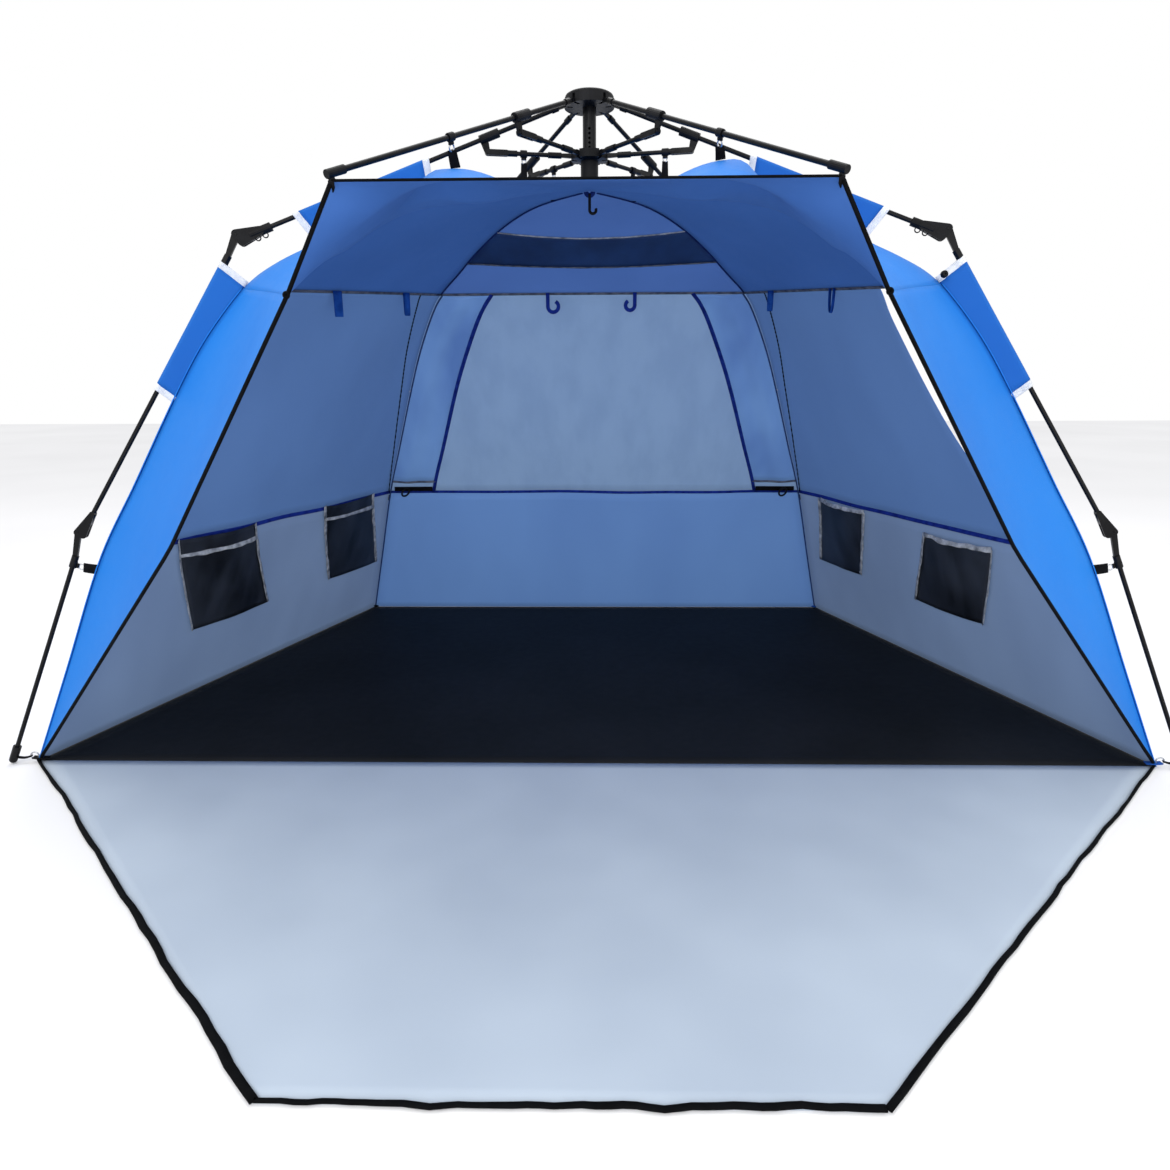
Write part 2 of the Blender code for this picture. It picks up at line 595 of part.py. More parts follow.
def upper_leg_mesh():
    """Upper leg pole: knee tongue above, shin housing below."""
    axis = -KNEE_LEG_OFFSET
    width = KNEE_GAP + 2 * KNEE_CHEEK
    tongue = plate([(0, 0, KNEE_EYE_RADIUS - RUNNING_GAP),
                    (KNEE_TONGUE_LENGTH, axis, POLE_RADIUS + GAP)], KNEE_TONGUE)
    pin = cross_pin(0, 0, KNEE_PIN_RADIUS, width + RIVET_HEIGHT)
    end = UPPER_LEG_LENGTH - SHIN_WEB_SETBACK
    fitting_end = KNEE_TONGUE_LENGTH + KNEE_FITTING_LENGTH
    housing_start = UPPER_LEG_LENGTH - SHIN_HOUSING_LENGTH
    profile = [(0, end), (SHIN_SOCKET_RADIUS, end), (SHIN_SOCKET_RADIUS, housing_start),
               (POLE_RADIUS, housing_start), (POLE_RADIUS, fitting_end), (FITTING_RADIUS, fitting_end),
               (FITTING_RADIUS, KNEE_TONGUE_LENGTH - BITE), (0, KNEE_TONGUE_LENGTH - BITE)]
    pole = turned(profile, along_x(0, axis))
    shell_width = KNEE_GAP + 2 * SHIN_CHEEK
    shell = plate([(housing_start, axis, POLE_RADIUS + GAP), (UPPER_LEG_LENGTH, SHIN_STEP, SHIN_EYE_RADIUS),
                   (UPPER_LEG_LENGTH, axis - SHIN_EYE_RADIUS / 2, SHIN_EYE_RADIUS)], shell_width)
    reach = 2 * SHIN_HOUSING_LENGTH
    mouth = block((end, -KNEE_GAP / 2, -reach), (UPPER_LEG_LENGTH + reach, KNEE_GAP / 2, reach))
    roof = block((housing_start - CUT_OVERRUN, -KNEE_GAP / 2, axis + SHIN_GROOVE_HEIGHT),
                 (UPPER_LEG_LENGTH, KNEE_GAP / 2, reach))
    seat = cross_pin(UPPER_LEG_LENGTH, SHIN_STEP, KNEE_PIN_RADIUS + RUNNING_GAP, 2 * shell_width)
    return cut(united(pole, tongue, pin, shell), mouth, roof, seat)


def lower_leg_mesh():
    """Lower leg pole: shin tongue above, round foot below."""
    axis = -SHIN_OFFSET
    shell_width = KNEE_GAP + 2 * SHIN_CHEEK
    tongue = plate([(0, 0, SHIN_TONGUE_EYE), (SHIN_TONGUE_LENGTH, axis, POLE_RADIUS + GAP)], KNEE_TONGUE)
    pin = cross_pin(0, 0, KNEE_PIN_RADIUS, shell_width + RIVET_HEIGHT)
    arc_steps = 5
    foot_start = LOWER_LEG_LENGTH - FOOT_LENGTH
    sole = [(FOOT_RADIUS * math.sin(math.pi / 2 * i / arc_steps),
             LOWER_LEG_LENGTH + FOOT_RADIUS * math.cos(math.pi / 2 * i / arc_steps))
            for i in range(arc_steps + 1)]
    profile = sole + [(FOOT_RADIUS, foot_start), (POLE_RADIUS, foot_start),
                      (POLE_RADIUS, SHIN_TONGUE_LENGTH + ROOT_FITTING_LENGTH),
                      (FITTING_RADIUS - GAP, SHIN_TONGUE_LENGTH + ROOT_FITTING_LENGTH),
                      (FITTING_RADIUS - GAP, SHIN_TONGUE_LENGTH - BITE), (0, SHIN_TONGUE_LENGTH - BITE)]
    return united(turned(profile, along_x(0, axis)), tongue, pin)


def build_frame():
    """The hub, the runner and everything that hangs on their pins."""
    hub = pivot("hub_pivot", (0, 0, HUB_HEIGHT), (0, 0, 0))
    runner = pivot("runner_pivot", (0, 0, RUNNER_HEIGHT - HUB_HEIGHT), (0, 0, 0), hub)
    build_hub(hub)
    build_runner(runner)
    front_arm = arm_mesh(FRONT_ARM_LENGTH - END_CAP_RADIUS - GAP)
    leg_arm = arm_mesh(LEG_ARM_LENGTH - KNEE_WEB_SETBACK - BITE - GAP)
    bracket = bracket_mesh()
    strut = strut_mesh()
    end_cap = end_cap_mesh()
    knee = knee_mesh()
    upper_leg = upper_leg_mesh()
    lower_leg = lower_leg_mesh()
    for site, azimuth in ARM_SITES:
        for hand, side in SIDES:
            label = f"{site}_{hand}"
            angle = heading(azimuth, side)
            out = Vector((math.cos(angle), math.sin(angle), 0))
            arm = pivot(f"{label}_arm_pivot", out * HUB_PIVOT_RADIUS, (0, ARM_TILT, angle), hub)
            seat = pivot(f"{label}_strut_pivot", out * RUNNER_PIVOT_RADIUS, (0, 0, angle), runner)
            place(f"{label}_arm", front_arm if site == "front" else leg_arm, STEEL, arm)
            place(f"{label}_bracket", bracket, PLASTIC, arm)
            place(f"{label}_strut", strut, STEEL, seat)
            if site == "front":
                place(f"{label}_end_cap", end_cap, PLASTIC, arm)
                continue
            place(f"{label}_knee_housing", knee, PLASTIC, arm)
            knee_at = pivot(f"{label}_knee_pivot", (LEG_ARM_LENGTH, 0, KNEE_OFFSET),
                            (0, UPPER_LEG_TILT - ARM_TILT, 0), arm)
            place(f"{label}_upper_leg", upper_leg, STEEL, knee_at)
            shin_at = pivot(f"{label}_shin_pivot", (UPPER_LEG_LENGTH, 0, SHIN_STEP),
                            (0, LOWER_LEG_TILT - UPPER_LEG_TILT, 0), knee_at)
            place(f"{label}_lower_leg", lower_leg, STEEL, shin_at)


# Fabric surfaces

def pole_radius(height):
    """How far out a leg stands at a height."""
    if height < SHIN_HEIGHT:
        return SHIN_RADIUS + (FOOT_REACH - SHIN_RADIUS) * (SHIN_HEIGHT - height) / SHIN_HEIGHT
    part = (KNEE_HEIGHT - height) / (KNEE_HEIGHT - SHIN_HEIGHT)
    return KNEE_RADIUS + (SHIN_RADIUS - KNEE_RADIUS) * part


def arm_height(radius):
    """How high an arm passes over a radius."""
    return HUB_HEIGHT - (radius - HUB_PIVOT_RADIUS) * math.tan(ARM_TILT)


def ridge_line(gap_shares):
    """Radius and height of each ridge level, up inside the legs and on under the arms."""
    line = []
    for height_share, gap_share in zip(RIDGE_WALL_SHARES, gap_shares):
        height = height_share * KNEE_HEIGHT
        line.append((pole_radius(height) - gap_share * RIDGE_GAP, max(height, WALL_FOOT_HEIGHT)))
    for radius_share, drop_share in zip(RIDGE_ROOF_SHARES, RIDGE_DROP_SHARES):
        radius = radius_share * KNEE_RADIUS
        line.append((radius, arm_height(radius) - drop_share * RIDGE_DROP))
    return line


SIDE_RIDGE = ridge_line(SIDE_GAP_SHARES)
REAR_RIDGE = ridge_line(REAR_GAP_SHARES)
FLOOR_FRONT_REACH = SIDE_RIDGE[0][0]
FLOOR_REAR_REACH = REAR_RIDGE[0][0]


def ridge_point(level, azimuth, side, line):
    """A point of a ridge line in its leg's plane, straight between whole levels."""
    low = min(int(level), len(line) - 2)
    part = level - low
    radius = line[low][0] * (1 - part) + line[low + 1][0] * part
    height = line[low][1] * (1 - part) + line[low + 1][1] * part
    angle = heading(azimuth, side)
    return Vector((radius * math.cos(angle), radius * math.sin(angle), height))


def side_ridge(level, side):
    """Ridge over a side leg."""
    return ridge_point(level, SIDE_AZIMUTH, side, SIDE_RIDGE)


def rear_ridge(level, side):
    """Ridge over a rear leg."""
    return ridge_point(level, REAR_AZIMUTH, side, REAR_RIDGE)


def sagged(start, end, share, sag):
    """A point between two ridge points, drawn in towards the mast between them."""
    point = start.lerp(end, share)
    chord = end - start
    inward = Vector((-chord.y, chord.x, 0)).normalized()
    if inward.dot(point) > 0:
        inward = -inward
    return point + inward * sag * 4 * share * (1 - share)


def level_sag(level, sag):
    """Sag fades to nothing at the floor, where the cloth is sewn to a straight edge."""
    return sag * math.sin(math.pi * min(level, SEAM_LEVEL) / (SEAM_LEVEL + 2))


def inset_share(start, end, share, inset):
    """A share kept clear of both ends by an inset."""
    margin = inset / (end - start).length
    return margin + share * (1 - 2 * margin)


def side_wall_point(share, level, side, inset=0.0):
    """Side wall between the side ridge and the rear ridge."""
    start = side_ridge(level, side)
    end = rear_ridge(level, side)
    return sagged(start, end, inset_share(start, end, share, inset), level_sag(level, WALL_SAG))


def back_wall_point(share, level, inset=0.0):
    """Back wall from the left rear ridge to the right one."""
    start = rear_ridge(level, -1)
    end = rear_ridge(level, 1)
    return sagged(start, end, inset_share(start, end, share, inset), level_sag(level, WALL_SAG))


def roof_corner(side):
    """The roof's front corner, on the end cap of a front arm."""
    across = FRONT_TIP_RADIUS * math.sin(FRONT_AZIMUTH) - ROOF_CORNER_INWARD
    forward = FRONT_TIP_RADIUS * math.cos(FRONT_AZIMUTH) + ROOF_CORNER_FORWARD
    return Vector((side * across, -forward, FRONT_TIP_HEIGHT - ROOF_CORNER_DROP))


def edge_point(level, side):
    """Edge of the front opening."""
    foot = side_ridge(0, side)
    sill_height = side_ridge(SILL_LEVEL, side).z + EDGE_SILL_RISE
    sill = Vector((side * EDGE_SILL_HALF_WIDTH, -EDGE_SILL_FORWARD, sill_height))
    seam = roof_corner(side) + Vector((side * EDGE_SEAM_SPREAD, EDGE_SEAM_BACK, -EDGE_SEAM_DROP))
    if level <= SILL_LEVEL:
        return foot.lerp(sill, level / SILL_LEVEL)
    return sill.lerp(seam, (level - SILL_LEVEL) / (SEAM_LEVEL - SILL_LEVEL))


def front_panel_point(share, level, side, inset=0.0):
    """Outer panel between the side ridge and the opening's edge."""
    start = side_ridge(level, side)
    end = edge_point(level, side)
    margin = inset / (end - start).length
    return sagged(start, end, margin + share * (1 - margin), level_sag(level, FRONT_SAG))


def sheet_mesh(rows, skipped=(), thickness=CLOTH):
    """A closed thin sheet from rows of points; skipped names (row, column) cells left open."""
    mesh = bpy.data.meshes.new("sheet")
    width = len(rows[0])
    points = [tuple(point) for row in rows for point in row]
    faces = [(r * width + c, r * width + c + 1, (r + 1) * width + c + 1, (r + 1) * width + c)
             for r in range(len(rows) - 1) for c in range(width - 1) if (r, c) not in skipped]
    mesh.from_pydata(points, [], faces)
    shape = bmesh.new()
    shape.from_mesh(mesh)
    loose = [vert for vert in shape.verts if not vert.link_faces]
    bmesh.ops.delete(shape, geom=loose, context="VERTS")
    bmesh.ops.remove_doubles(shape, verts=shape.verts, dist=GAP / 20)
    shape.to_mesh(mesh)
    shape.free()
    obj = helper_object(mesh)
    solid = obj.modifiers.new("solidify", "SOLIDIFY")
    solid.thickness = thickness
    solid.offset = 0
    solid.use_even_offset = True
    solid.use_rim = True
    return cleaned(evaluated_mesh(obj))


def levels(first, last, steps_per_level=1):
    """Rows of a wall from one level to another."""
    count = max(1, round((last - first) * steps_per_level))
    return [first + (last - first) * i / count for i in range(count + 1)]


def draw_back(rows, index, other, inset):
    """Draw a panel's edge row back from its seam, towards the next row."""
    rows[index] = [point + (beyond - point).normalized() * inset
                   for point, beyond in zip(rows[index], rows[other])]


def wall_columns(count):
    """Even columns across a panel."""
    return [i / count for i in range(count + 1)]


SIDE_COLUMNS = [0.0] + [SLIT_SHARE + (1 - SLIT_SHARE) * part for part in wall_columns(5)]
FRONT_COLUMNS = wall_columns(4)
BACK_COLUMNS = wall_columns(6)


def build_walls():
    """Side walls, back wall, window and outer front panels."""
    for hand, side in SIDES:
        wall_levels = levels(0, SEAM_LEVEL)
        rows = [[side_wall_point(share, level, side, FOLD_INSET) for share in SIDE_COLUMNS]
                for level in wall_levels]
        draw_back(rows, -1, -2, SEAM_INSET)
        slit_rows = [row for row, level in enumerate(wall_levels[:-1]) if level >= SILL_LEVEL]
        open_cells = [(row, 0) for row in slit_rows] if hand == "right" else []
        place(f"side_wall_{hand}", sheet_mesh(rows, open_cells), LINING)
        rows = [[front_panel_point(share, level, side, FOLD_INSET) for share in FRONT_COLUMNS]
                for level in [FRONT_PANEL_FIRST_SHARE] + levels(1, SEAM_LEVEL)]
        draw_back(rows, -1, -2, SEAM_INSET)
        place(f"front_panel_{hand}", sheet_mesh(rows), BLUE)
    rows = [[back_wall_point(share, level, FOLD_INSET) for share in BACK_COLUMNS]
            for level in levels(0, SILL_LEVEL)]
    draw_back(rows, -1, -2, SEAM_INSET)
    place("back_wall", sheet_mesh(rows), LINING)
    rows = [[back_wall_point(share, level, FOLD_INSET) for share in BACK_COLUMNS]
            for level in levels(SILL_LEVEL, SEAM_LEVEL)]
    draw_back(rows, 0, 1, SEAM_INSET)
    draw_back(rows, -1, -2, SEAM_INSET)
    place("back_window", sheet_mesh(rows), WINDOW)


def roof_line(boundary, apex):
    """Points from a roof edge point up to the crown, on the same dome as the ridges."""
    seam_radius, seam_height = SIDE_RIDGE[SEAM_LEVEL]
    line = []
    for radius, height in SIDE_RIDGE[SEAM_LEVEL:]:
        drop = (CROWN_HEIGHT - height) / (CROWN_HEIGHT - seam_height)
        flat = apex.lerp(boundary, radius / seam_radius)
        line.append(Vector((flat.x, flat.y, CROWN_HEIGHT - (CROWN_HEIGHT - boundary.z) * drop)))
    line.append(apex)
    return line


def build_roof():
    """The main roof over the front and sides, and the rear roof with its vent."""
    left = [side_wall_point(share, SEAM_LEVEL, -1, ROOF_INSET) for share in SIDE_COLUMNS[::-1]]
    left[-1] = side_ridge(SEAM_LEVEL, -1)
    left += [front_panel_point(share, SEAM_LEVEL, -1) for share in FRONT_COLUMNS[1:]]
    edge = edge_point(SEAM_LEVEL, -1)
    corner = roof_corner(-1)
    left += [(edge + corner) / 2, corner]
    front_steps = 3
    for i in range(1, front_steps):
        share = i / front_steps
        left.append(Vector((corner.x * (1 - share), corner.y,
                            corner.z + ROOF_FRONT_ARCH * math.sin(math.pi / 2 * share))))
    stations = left + [Vector((0, corner.y, corner.z + ROOF_FRONT_ARCH))]
    stations += [Vector((-point.x, point.y, point.z)) for point in reversed(left)]
    apex = Vector((0, -ROOF_INSET, CROWN_HEIGHT))
    rows = [list(ring) for ring in zip(*[roof_line(point, apex) for point in stations])]
    draw_back(rows, 0, 1, SEAM_INSET)
    place("main_roof", sheet_mesh(rows), LINING)
    apex = Vector((0, ROOF_INSET, CROWN_HEIGHT))
    rear = [back_wall_point(share, SEAM_LEVEL, ROOF_INSET) for share in BACK_COLUMNS]
    rows = [list(ring) for ring in zip(*[roof_line(point, apex) for point in rear])]
    draw_back(rows, 0, 1, SEAM_INSET)
    place("rear_roof", sheet_mesh(rows), LINING)


def flat_sheet(outline, low, thickness):
    """A level sheet from its outline, standing on a height."""
    curve = bpy.data.curves.new("sheet_outline", "CURVE")
    curve.dimensions = "2D"
    curve.fill_mode = "BOTH"
    curve.extrude = thickness / 2
    spline = curve.splines.new("POLY")
    spline.points.add(len(outline) - 1)
    for point, (x, y) in zip(spline.points, outline):
        point.co = (x, y, 0, 1)
    spline.use_cyclic_u = True
    lift = Vector((0, 0, low + thickness / 2))
    mesh = evaluated_mesh(helper_object(curve))
    shape = bmesh.new()
    shape.from_mesh(mesh)
    bmesh.ops.remove_doubles(shape, verts=shape.verts, dist=GAP / 20)
    bmesh.ops.translate(shape, vec=lift, verts=shape.verts)
    bmesh.ops.recalc_face_normals(shape, faces=shape.faces)
    shape.to_mesh(mesh)
    shape.free()
    return mesh


def floor_corner(azimuth, side, reach):
    """A corner of the floor, under a ridge's foot."""
    angle = heading(azimuth, side)
    return (reach * math.cos(angle), reach * math.sin(angle))


def build_ground():
    """Floor sheet, and the porch on its hinge line at the floor's front edge."""
    front = [floor_corner(SIDE_AZIMUTH, side, FLOOR_FRONT_REACH) for side in (-1, 1)]
    rear = [floor_corner(REAR_AZIMUTH, side, FLOOR_REAR_REACH) for side in (1, -1)]
    place("floor_sheet", flat_sheet(front + rear, 0, CLOTH), FLOOR)
    near, front_y = front[1]
    hinge = pivot("porch_pivot", (0, front_y - GAP, PORCH_THICKNESS), (0, 0, 0))
    far = PORCH_FRONT_WIDTH / 2
    outline = [(-near, 0), (-far, -PORCH_LENGTH), (far, -PORCH_LENGTH), (near, 0)]
    place("porch_sheet", flat_sheet(outline, -PORCH_THICKNESS, PORCH_THICKNESS), PORCH, hinge)


def lofted(sections):
    """A closed solid through rings of points with flat ends."""
    shape = bmesh.new()
    rings = [[shape.verts.new(point) for point in section] for section in sections]
    count = len(rings[0])
    for lower, upper in zip(rings, rings[1:]):
        for i in range(count):
            shape.faces.new((lower[i], lower[(i + 1) % count], upper[(i + 1) % count], upper[i]))
    shape.faces.new(rings[0])
    shape.faces.new(rings[-1])
    bmesh.ops.recalc_face_normals(shape, faces=shape.faces)
    mesh = bpy.data.meshes.new("loft")
    shape.to_mesh(mesh)
    shape.free()
    return mesh


def back_wall_inward(share, level):
    """Unit direction from the back wall into the tent."""
    here = back_wall_point(share, level)
    across = back_wall_point(share + NORMAL_STEP_SHARE, level) - here
    up = back_wall_point(share, level + NORMAL_STEP_SHARE) - here
    normal = across.cross(up).normalized()
    return normal if normal.y < 0 else -normal


def build_covers():
    """The window covers, gathered into folds at each side of the window."""
    fold_steps = 4 * COVER_FOLD_COUNT
    for hand, side in SIDES:
        sections = []
        for level in levels(SILL_LEVEL + COVER_FOOT_GAP_SHARE, SEAM_LEVEL - COVER_HEAD_GAP_SHARE):
            rise = (level - SILL_LEVEL) / (SEAM_LEVEL - SILL_LEVEL)
            width_share = COVER_FOOT_SHARE + (COVER_TOP_SHARE - COVER_FOOT_SHARE) * rise
            back = []
            front = []
            for i in range(fold_steps + 1):
                part = i / fold_steps
                across = width_share * (COVER_SEAM_SHARE + (1 - COVER_SEAM_SHARE) * part)
                share = across if side < 0 else 1 - across
                inward = back_wall_inward(share, level)
                base = back_wall_point(share, level)
                swell = math.sqrt(math.sin(math.pi * part)) if 0 < i < fold_steps else 0.0
                wave = (1 - math.cos(math.tau * COVER_FOLD_COUNT * part)) / 2
                fullness = COVER_RIM_SHARE + (1 - COVER_RIM_SHARE) * swell
                depth = CLOTH + COVER_DEPTH * fullness + COVER_FOLD_DEPTH * wave * swell
                back.append(base + inward * (CLOTH / 2 + GAP))
                front.append(base + inward * depth)
            sections.append(back + front[::-1])
        place(f"window_cover_{hand}", lofted(sections), WINDOW)


def side_wall_inward(share, level, side):
    """Unit direction from a side wall into the tent."""
    here = side_wall_point(share, level, side)
    across = side_wall_point(share + NORMAL_STEP_SHARE, level, side) - here
    up = side_wall_point(share, level + NORMAL_STEP_SHARE, side) - here
    normal = across.cross(up).normalized()
    return normal if normal.x * side < 0 else -normal


def wall_level(height):
    """Level of the ridge at a height."""
    for index in range(SEAM_LEVEL):
        low = SIDE_RIDGE[index][1]
        high = SIDE_RIDGE[index + 1][1]
        if height <= high:
            return index + (height - low) / (high - low)
    return SEAM_LEVEL


def build_pockets():
    """Two mesh pockets low on each side wall."""
    places = (("front", FRONT_POCKET_SHARE, FRONT_POCKET_LEAN_SHARE),
              ("rear", REAR_POCKET_SHARE, REAR_POCKET_LEAN_SHARE))
    row_count = 4
    column_count = 6
    for label, centre, lean in places:
        for hand, side in SIDES:
            rows = []
            for i in range(row_count + 1):
                part = i / row_count
                level = wall_level(POCKET_FOOT + (POCKET_TOP - POCKET_FOOT) * part)
                middle = centre + lean * (1 - part)
                row = []
                for j in range(column_count + 1):
                    across = j / column_count
                    share = middle + POCKET_HALF_SHARE * (2 * across - 1)
                    inward = side_wall_inward(share, level, side)
                    fullness = POCKET_FOOT_BULGE_SHARE + (1 - POCKET_FOOT_BULGE_SHARE) * part
                    bulge = POCKET_THICKNESS * math.sin(math.pi * across) * fullness
                    offset = CLOTH / 2 + 3 * GAP + POCKET_THICKNESS / 2 + bulge
                    row.append(side_wall_point(share, level, side) + inward * offset)
                rows.append(row)
            place(f"{label}_pocket_{hand}", sheet_mesh(rows, thickness=POCKET_THICKNESS), MESH)


def leg_plane_point(along, offset, origin, tilt, azimuth, side):
    """A point beside a pole, from its pivot, along it and off it."""
    radius = origin[0] + along * math.cos(tilt) + offset * math.sin(tilt)
    height = origin[1] - along * math.sin(tilt) + offset * math.cos(tilt)
    angle = heading(azimuth, side)
    return Vector((radius * math.cos(angle), radius * math.sin(angle), height))


def build_flaps():
    """Sleeve flaps that hold the tent's ridges out to the poles."""
    spots = (("side", SIDE_AZIMUTH, side_ridge, ("upper", "lower")),
             ("rear", REAR_AZIMUTH, rear_ridge, ("lower",)))
    step_count = 8
    for site, azimuth, ridge, kinds in spots:
        for kind in kinds:
            for hand, side in SIDES:
                if kind == "lower":
                    origin = (KNEE_RADIUS, KNEE_HEIGHT)
                    tilt = UPPER_LEG_TILT
                    offset = -KNEE_LEG_OFFSET - POLE_RADIUS - FLAP_POLE_GAP
                    start, end = LOWER_FLAP_START, LOWER_FLAP_END
                    first, last = LOWER_FLAP_LEVELS
                else:
                    origin = (HUB_PIVOT_RADIUS, HUB_HEIGHT)
                    tilt = ARM_TILT
                    offset = -POLE_RADIUS - FLAP_POLE_GAP
                    start, end = UPPER_FLAP_START, UPPER_FLAP_END
                    first, last = UPPER_FLAP_LEVELS
                rows = []
                for i in range(step_count + 1):
                    part = i / step_count
                    along = start + (end - start) * part
                    outer = leg_plane_point(along, offset, origin, tilt, azimuth, side)
                    inner = ridge(first + (last - first) * part, side)
                    inner = inner + (outer - inner).normalized() * FOLD_INSET
                    rows.append([inner, (inner + outer) / 2, outer])
                name = f"{site}_{kind}_flap_{hand}"
                place(name, sheet_mesh(rows), BLUE)


def build_hook():
    """Lantern hook that swings on the loop under the crown."""
    hub = bpy.data.objects["hub_pivot"]
    hang = pivot("hook_pivot", (0, 0, CROWN_HEIGHT - CLOTH - HOOK_WIRE - HUB_HEIGHT), (0, 0, 0), hub)
    curve = bpy.data.curves.new("hook_line", "CURVE")
    curve.dimensions = "3D"
    curve.bevel_depth = HOOK_WIRE
    curve.bevel_resolution = 2
    curve.use_fill_caps = True
    points = [(0, 0, 0), (0, 0, -HOOK_SHANK)]
    bend_steps = 8
    for i in range(1, bend_steps + 1):
        angle = math.pi * HOOK_TURN_SHARE * i / bend_steps
        across = HOOK_BEND * (1 - math.cos(angle))
        points.append((across, 0, -HOOK_SHANK - HOOK_BEND * math.sin(angle)))
    spline = curve.splines.new("POLY")
    spline.points.add(len(points) - 1)
    for target, point in zip(spline.points, points):
        target.co = (*point, 1)
    arc_steps = 4
    turns = [math.pi * i / arc_steps for i in range(arc_steps + 1)]
    ball = [(HOOK_WIRE * math.sin(turn), HOOK_WIRE * math.cos(turn)) for turn in turns]
    head = turned([(0, HOOK_WIRE)] + ball[1:-1] + [(0, -HOOK_WIRE)], sides=12)
    place("lantern_hook", united(cleaned(evaluated_mesh(helper_object(curve))), head), PLASTIC, hang)


build_frame()
build_ground()
build_walls()
build_roof()
build_covers()
build_pockets()
build_flaps()
build_hook()
print("pieces", len([obj for obj in tent.objects if obj.type == "MESH"]))
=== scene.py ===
import logging
import math
from dataclasses import dataclass, field
from enum import Enum
from typing import Callable, Sequence

import bmesh
import bpy
from mathutils import Matrix, Vector, noise


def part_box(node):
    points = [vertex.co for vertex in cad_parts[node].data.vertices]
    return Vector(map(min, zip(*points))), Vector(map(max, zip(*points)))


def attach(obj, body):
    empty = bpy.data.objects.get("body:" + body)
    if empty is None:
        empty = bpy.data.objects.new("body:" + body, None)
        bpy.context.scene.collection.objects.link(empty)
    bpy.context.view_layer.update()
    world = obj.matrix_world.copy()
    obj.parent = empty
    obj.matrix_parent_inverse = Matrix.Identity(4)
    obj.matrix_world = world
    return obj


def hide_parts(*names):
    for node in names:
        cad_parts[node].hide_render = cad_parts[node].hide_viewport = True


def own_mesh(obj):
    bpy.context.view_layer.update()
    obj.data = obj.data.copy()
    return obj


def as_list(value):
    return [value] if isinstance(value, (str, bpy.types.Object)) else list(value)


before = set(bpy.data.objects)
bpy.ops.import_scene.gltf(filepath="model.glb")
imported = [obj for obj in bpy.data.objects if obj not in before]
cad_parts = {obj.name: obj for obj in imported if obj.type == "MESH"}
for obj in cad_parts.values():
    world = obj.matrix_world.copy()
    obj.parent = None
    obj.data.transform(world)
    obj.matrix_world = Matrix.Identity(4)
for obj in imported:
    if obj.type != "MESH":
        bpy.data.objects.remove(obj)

# Dress of a hub-frame beach tent: woven cloth, bindings, straps, clips and studio, in metres.

LOG = logging.getLogger("beach_tent")
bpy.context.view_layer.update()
CLOTH_BODY = "ground_and_fabric"
CLOTH_THICKNESS = 0.0010
NET_THICKNESS = 0.0008
MERGE_DISTANCE = 0.0001
INSIDE = Vector((0.0, 0.1, 0.55))
UP = Vector((0.0, 0.0, 1.0))
PORCHWARD = Vector((0.0, -1.0, 0.0))

# Radius and height of both ridges at each whole level, from the floor's corner to the crown.
RIDGE_HEIGHTS = (0.0021, 0.2199, 0.4601, 0.6233, 0.8004, 0.9153, 1.0179, 1.0668, 1.1132, 1.1536,
                 1.1976, 1.2220, 1.2220)
CROWN_RADII = (0.5610, 0.4694, 0.3371, 0.1908, 0.0)
SIDE_RADII = (1.2720, 1.1779, 1.0748, 0.9807, 0.8789, 0.8052, 0.7187, 0.6551) + CROWN_RADII
REAR_RADII = (1.2950, 1.1992, 1.0943, 0.9984, 0.8948, 0.8198, 0.7317, 0.6669) + CROWN_RADII

Grid = list[list[Vector]]
Pair = tuple[float, float]
Triple = tuple[float, float, float]
Colour = tuple[float, float, float, float]
Screen = tuple[int, int, int]
Facing = Vector | Sequence[Vector]
Socket = bpy.types.NodeSocket
Material = bpy.types.Material
Piece = bpy.types.Object


class Hand(Enum):
    """Left or right of the opening, as seen from the porch."""

    LEFT = -1
    RIGHT = 1

    @property
    def label(self) -> str:
        """Name used in node and piece names."""
        return self.name.lower()

    def along_back(self, share: float) -> float:
        """Share of the back wall from its left end, for a share from this hand's end."""
        return share if self is Hand.LEFT else 1 - share


class Leg(Enum):
    """The two pairs of legs that hold a ridge."""

    SIDE = "side"
    REAR = "rear"


class Flap(Enum):
    """Where a sleeve flap sits: on the arm or on the upper leg."""

    UPPER = "upper"
    LOWER = "lower"


def srgb(red: int, green: int, blue: int) -> Colour:
    """Linear colour, with full alpha, from screen values of 0 to 255."""
    shares = [value / 255 for value in (red, green, blue)]
    parts = [share / 12.92 if share <= 0.04045 else ((share + 0.055) / 1.055) ** 2.4 for share in shares]
    return (parts[0], parts[1], parts[2], 1.0)


def smooth_curve(points: Sequence[Sequence[float]], at: float) -> list[float]:
    """A point of the smooth curve through listed points.

    Args:
        points: Rows of coordinates, one row for each whole number.
        at: Place along the rows, in row numbers.

    Returns:
        The coordinates there.
    """
    last = len(points) - 1
    low = max(0, min(int(at), last - 1))
    part = min(max(at - low, 0.0), 1.0)
    p0, p1 = points[max(low - 1, 0)], points[low]
    p2, p3 = points[low + 1], points[min(low + 2, last)]
    found = []
    for a, b, c, d in zip(p0, p1, p2, p3):
        slope_in, slope_out = (c - a) / 2, (d - b) / 2
        square, cube = part * part, part * part * part
        value = (2 * cube - 3 * square + 1) * b + (cube - 2 * square + part) * slope_in
        value += (3 * square - 2 * cube) * c + (cube - square) * slope_out
        found.append(value)
    return found


def even(count: int) -> list[float]:
    """Even shares from nought to one."""
    return [i / count for i in range(count + 1)]


def away(point: Vector) -> Vector:
    """Direction out of the tent at a point of its cloth."""
    return (point - INSIDE).normalized()


def inward(point: Vector) -> Vector:
    """Direction into the tent at a point of its cloth."""
    return (INSIDE - point).normalized()


def upward(_point: Vector) -> Vector:
    """Straight up, for what lies on the ground."""
    return UP


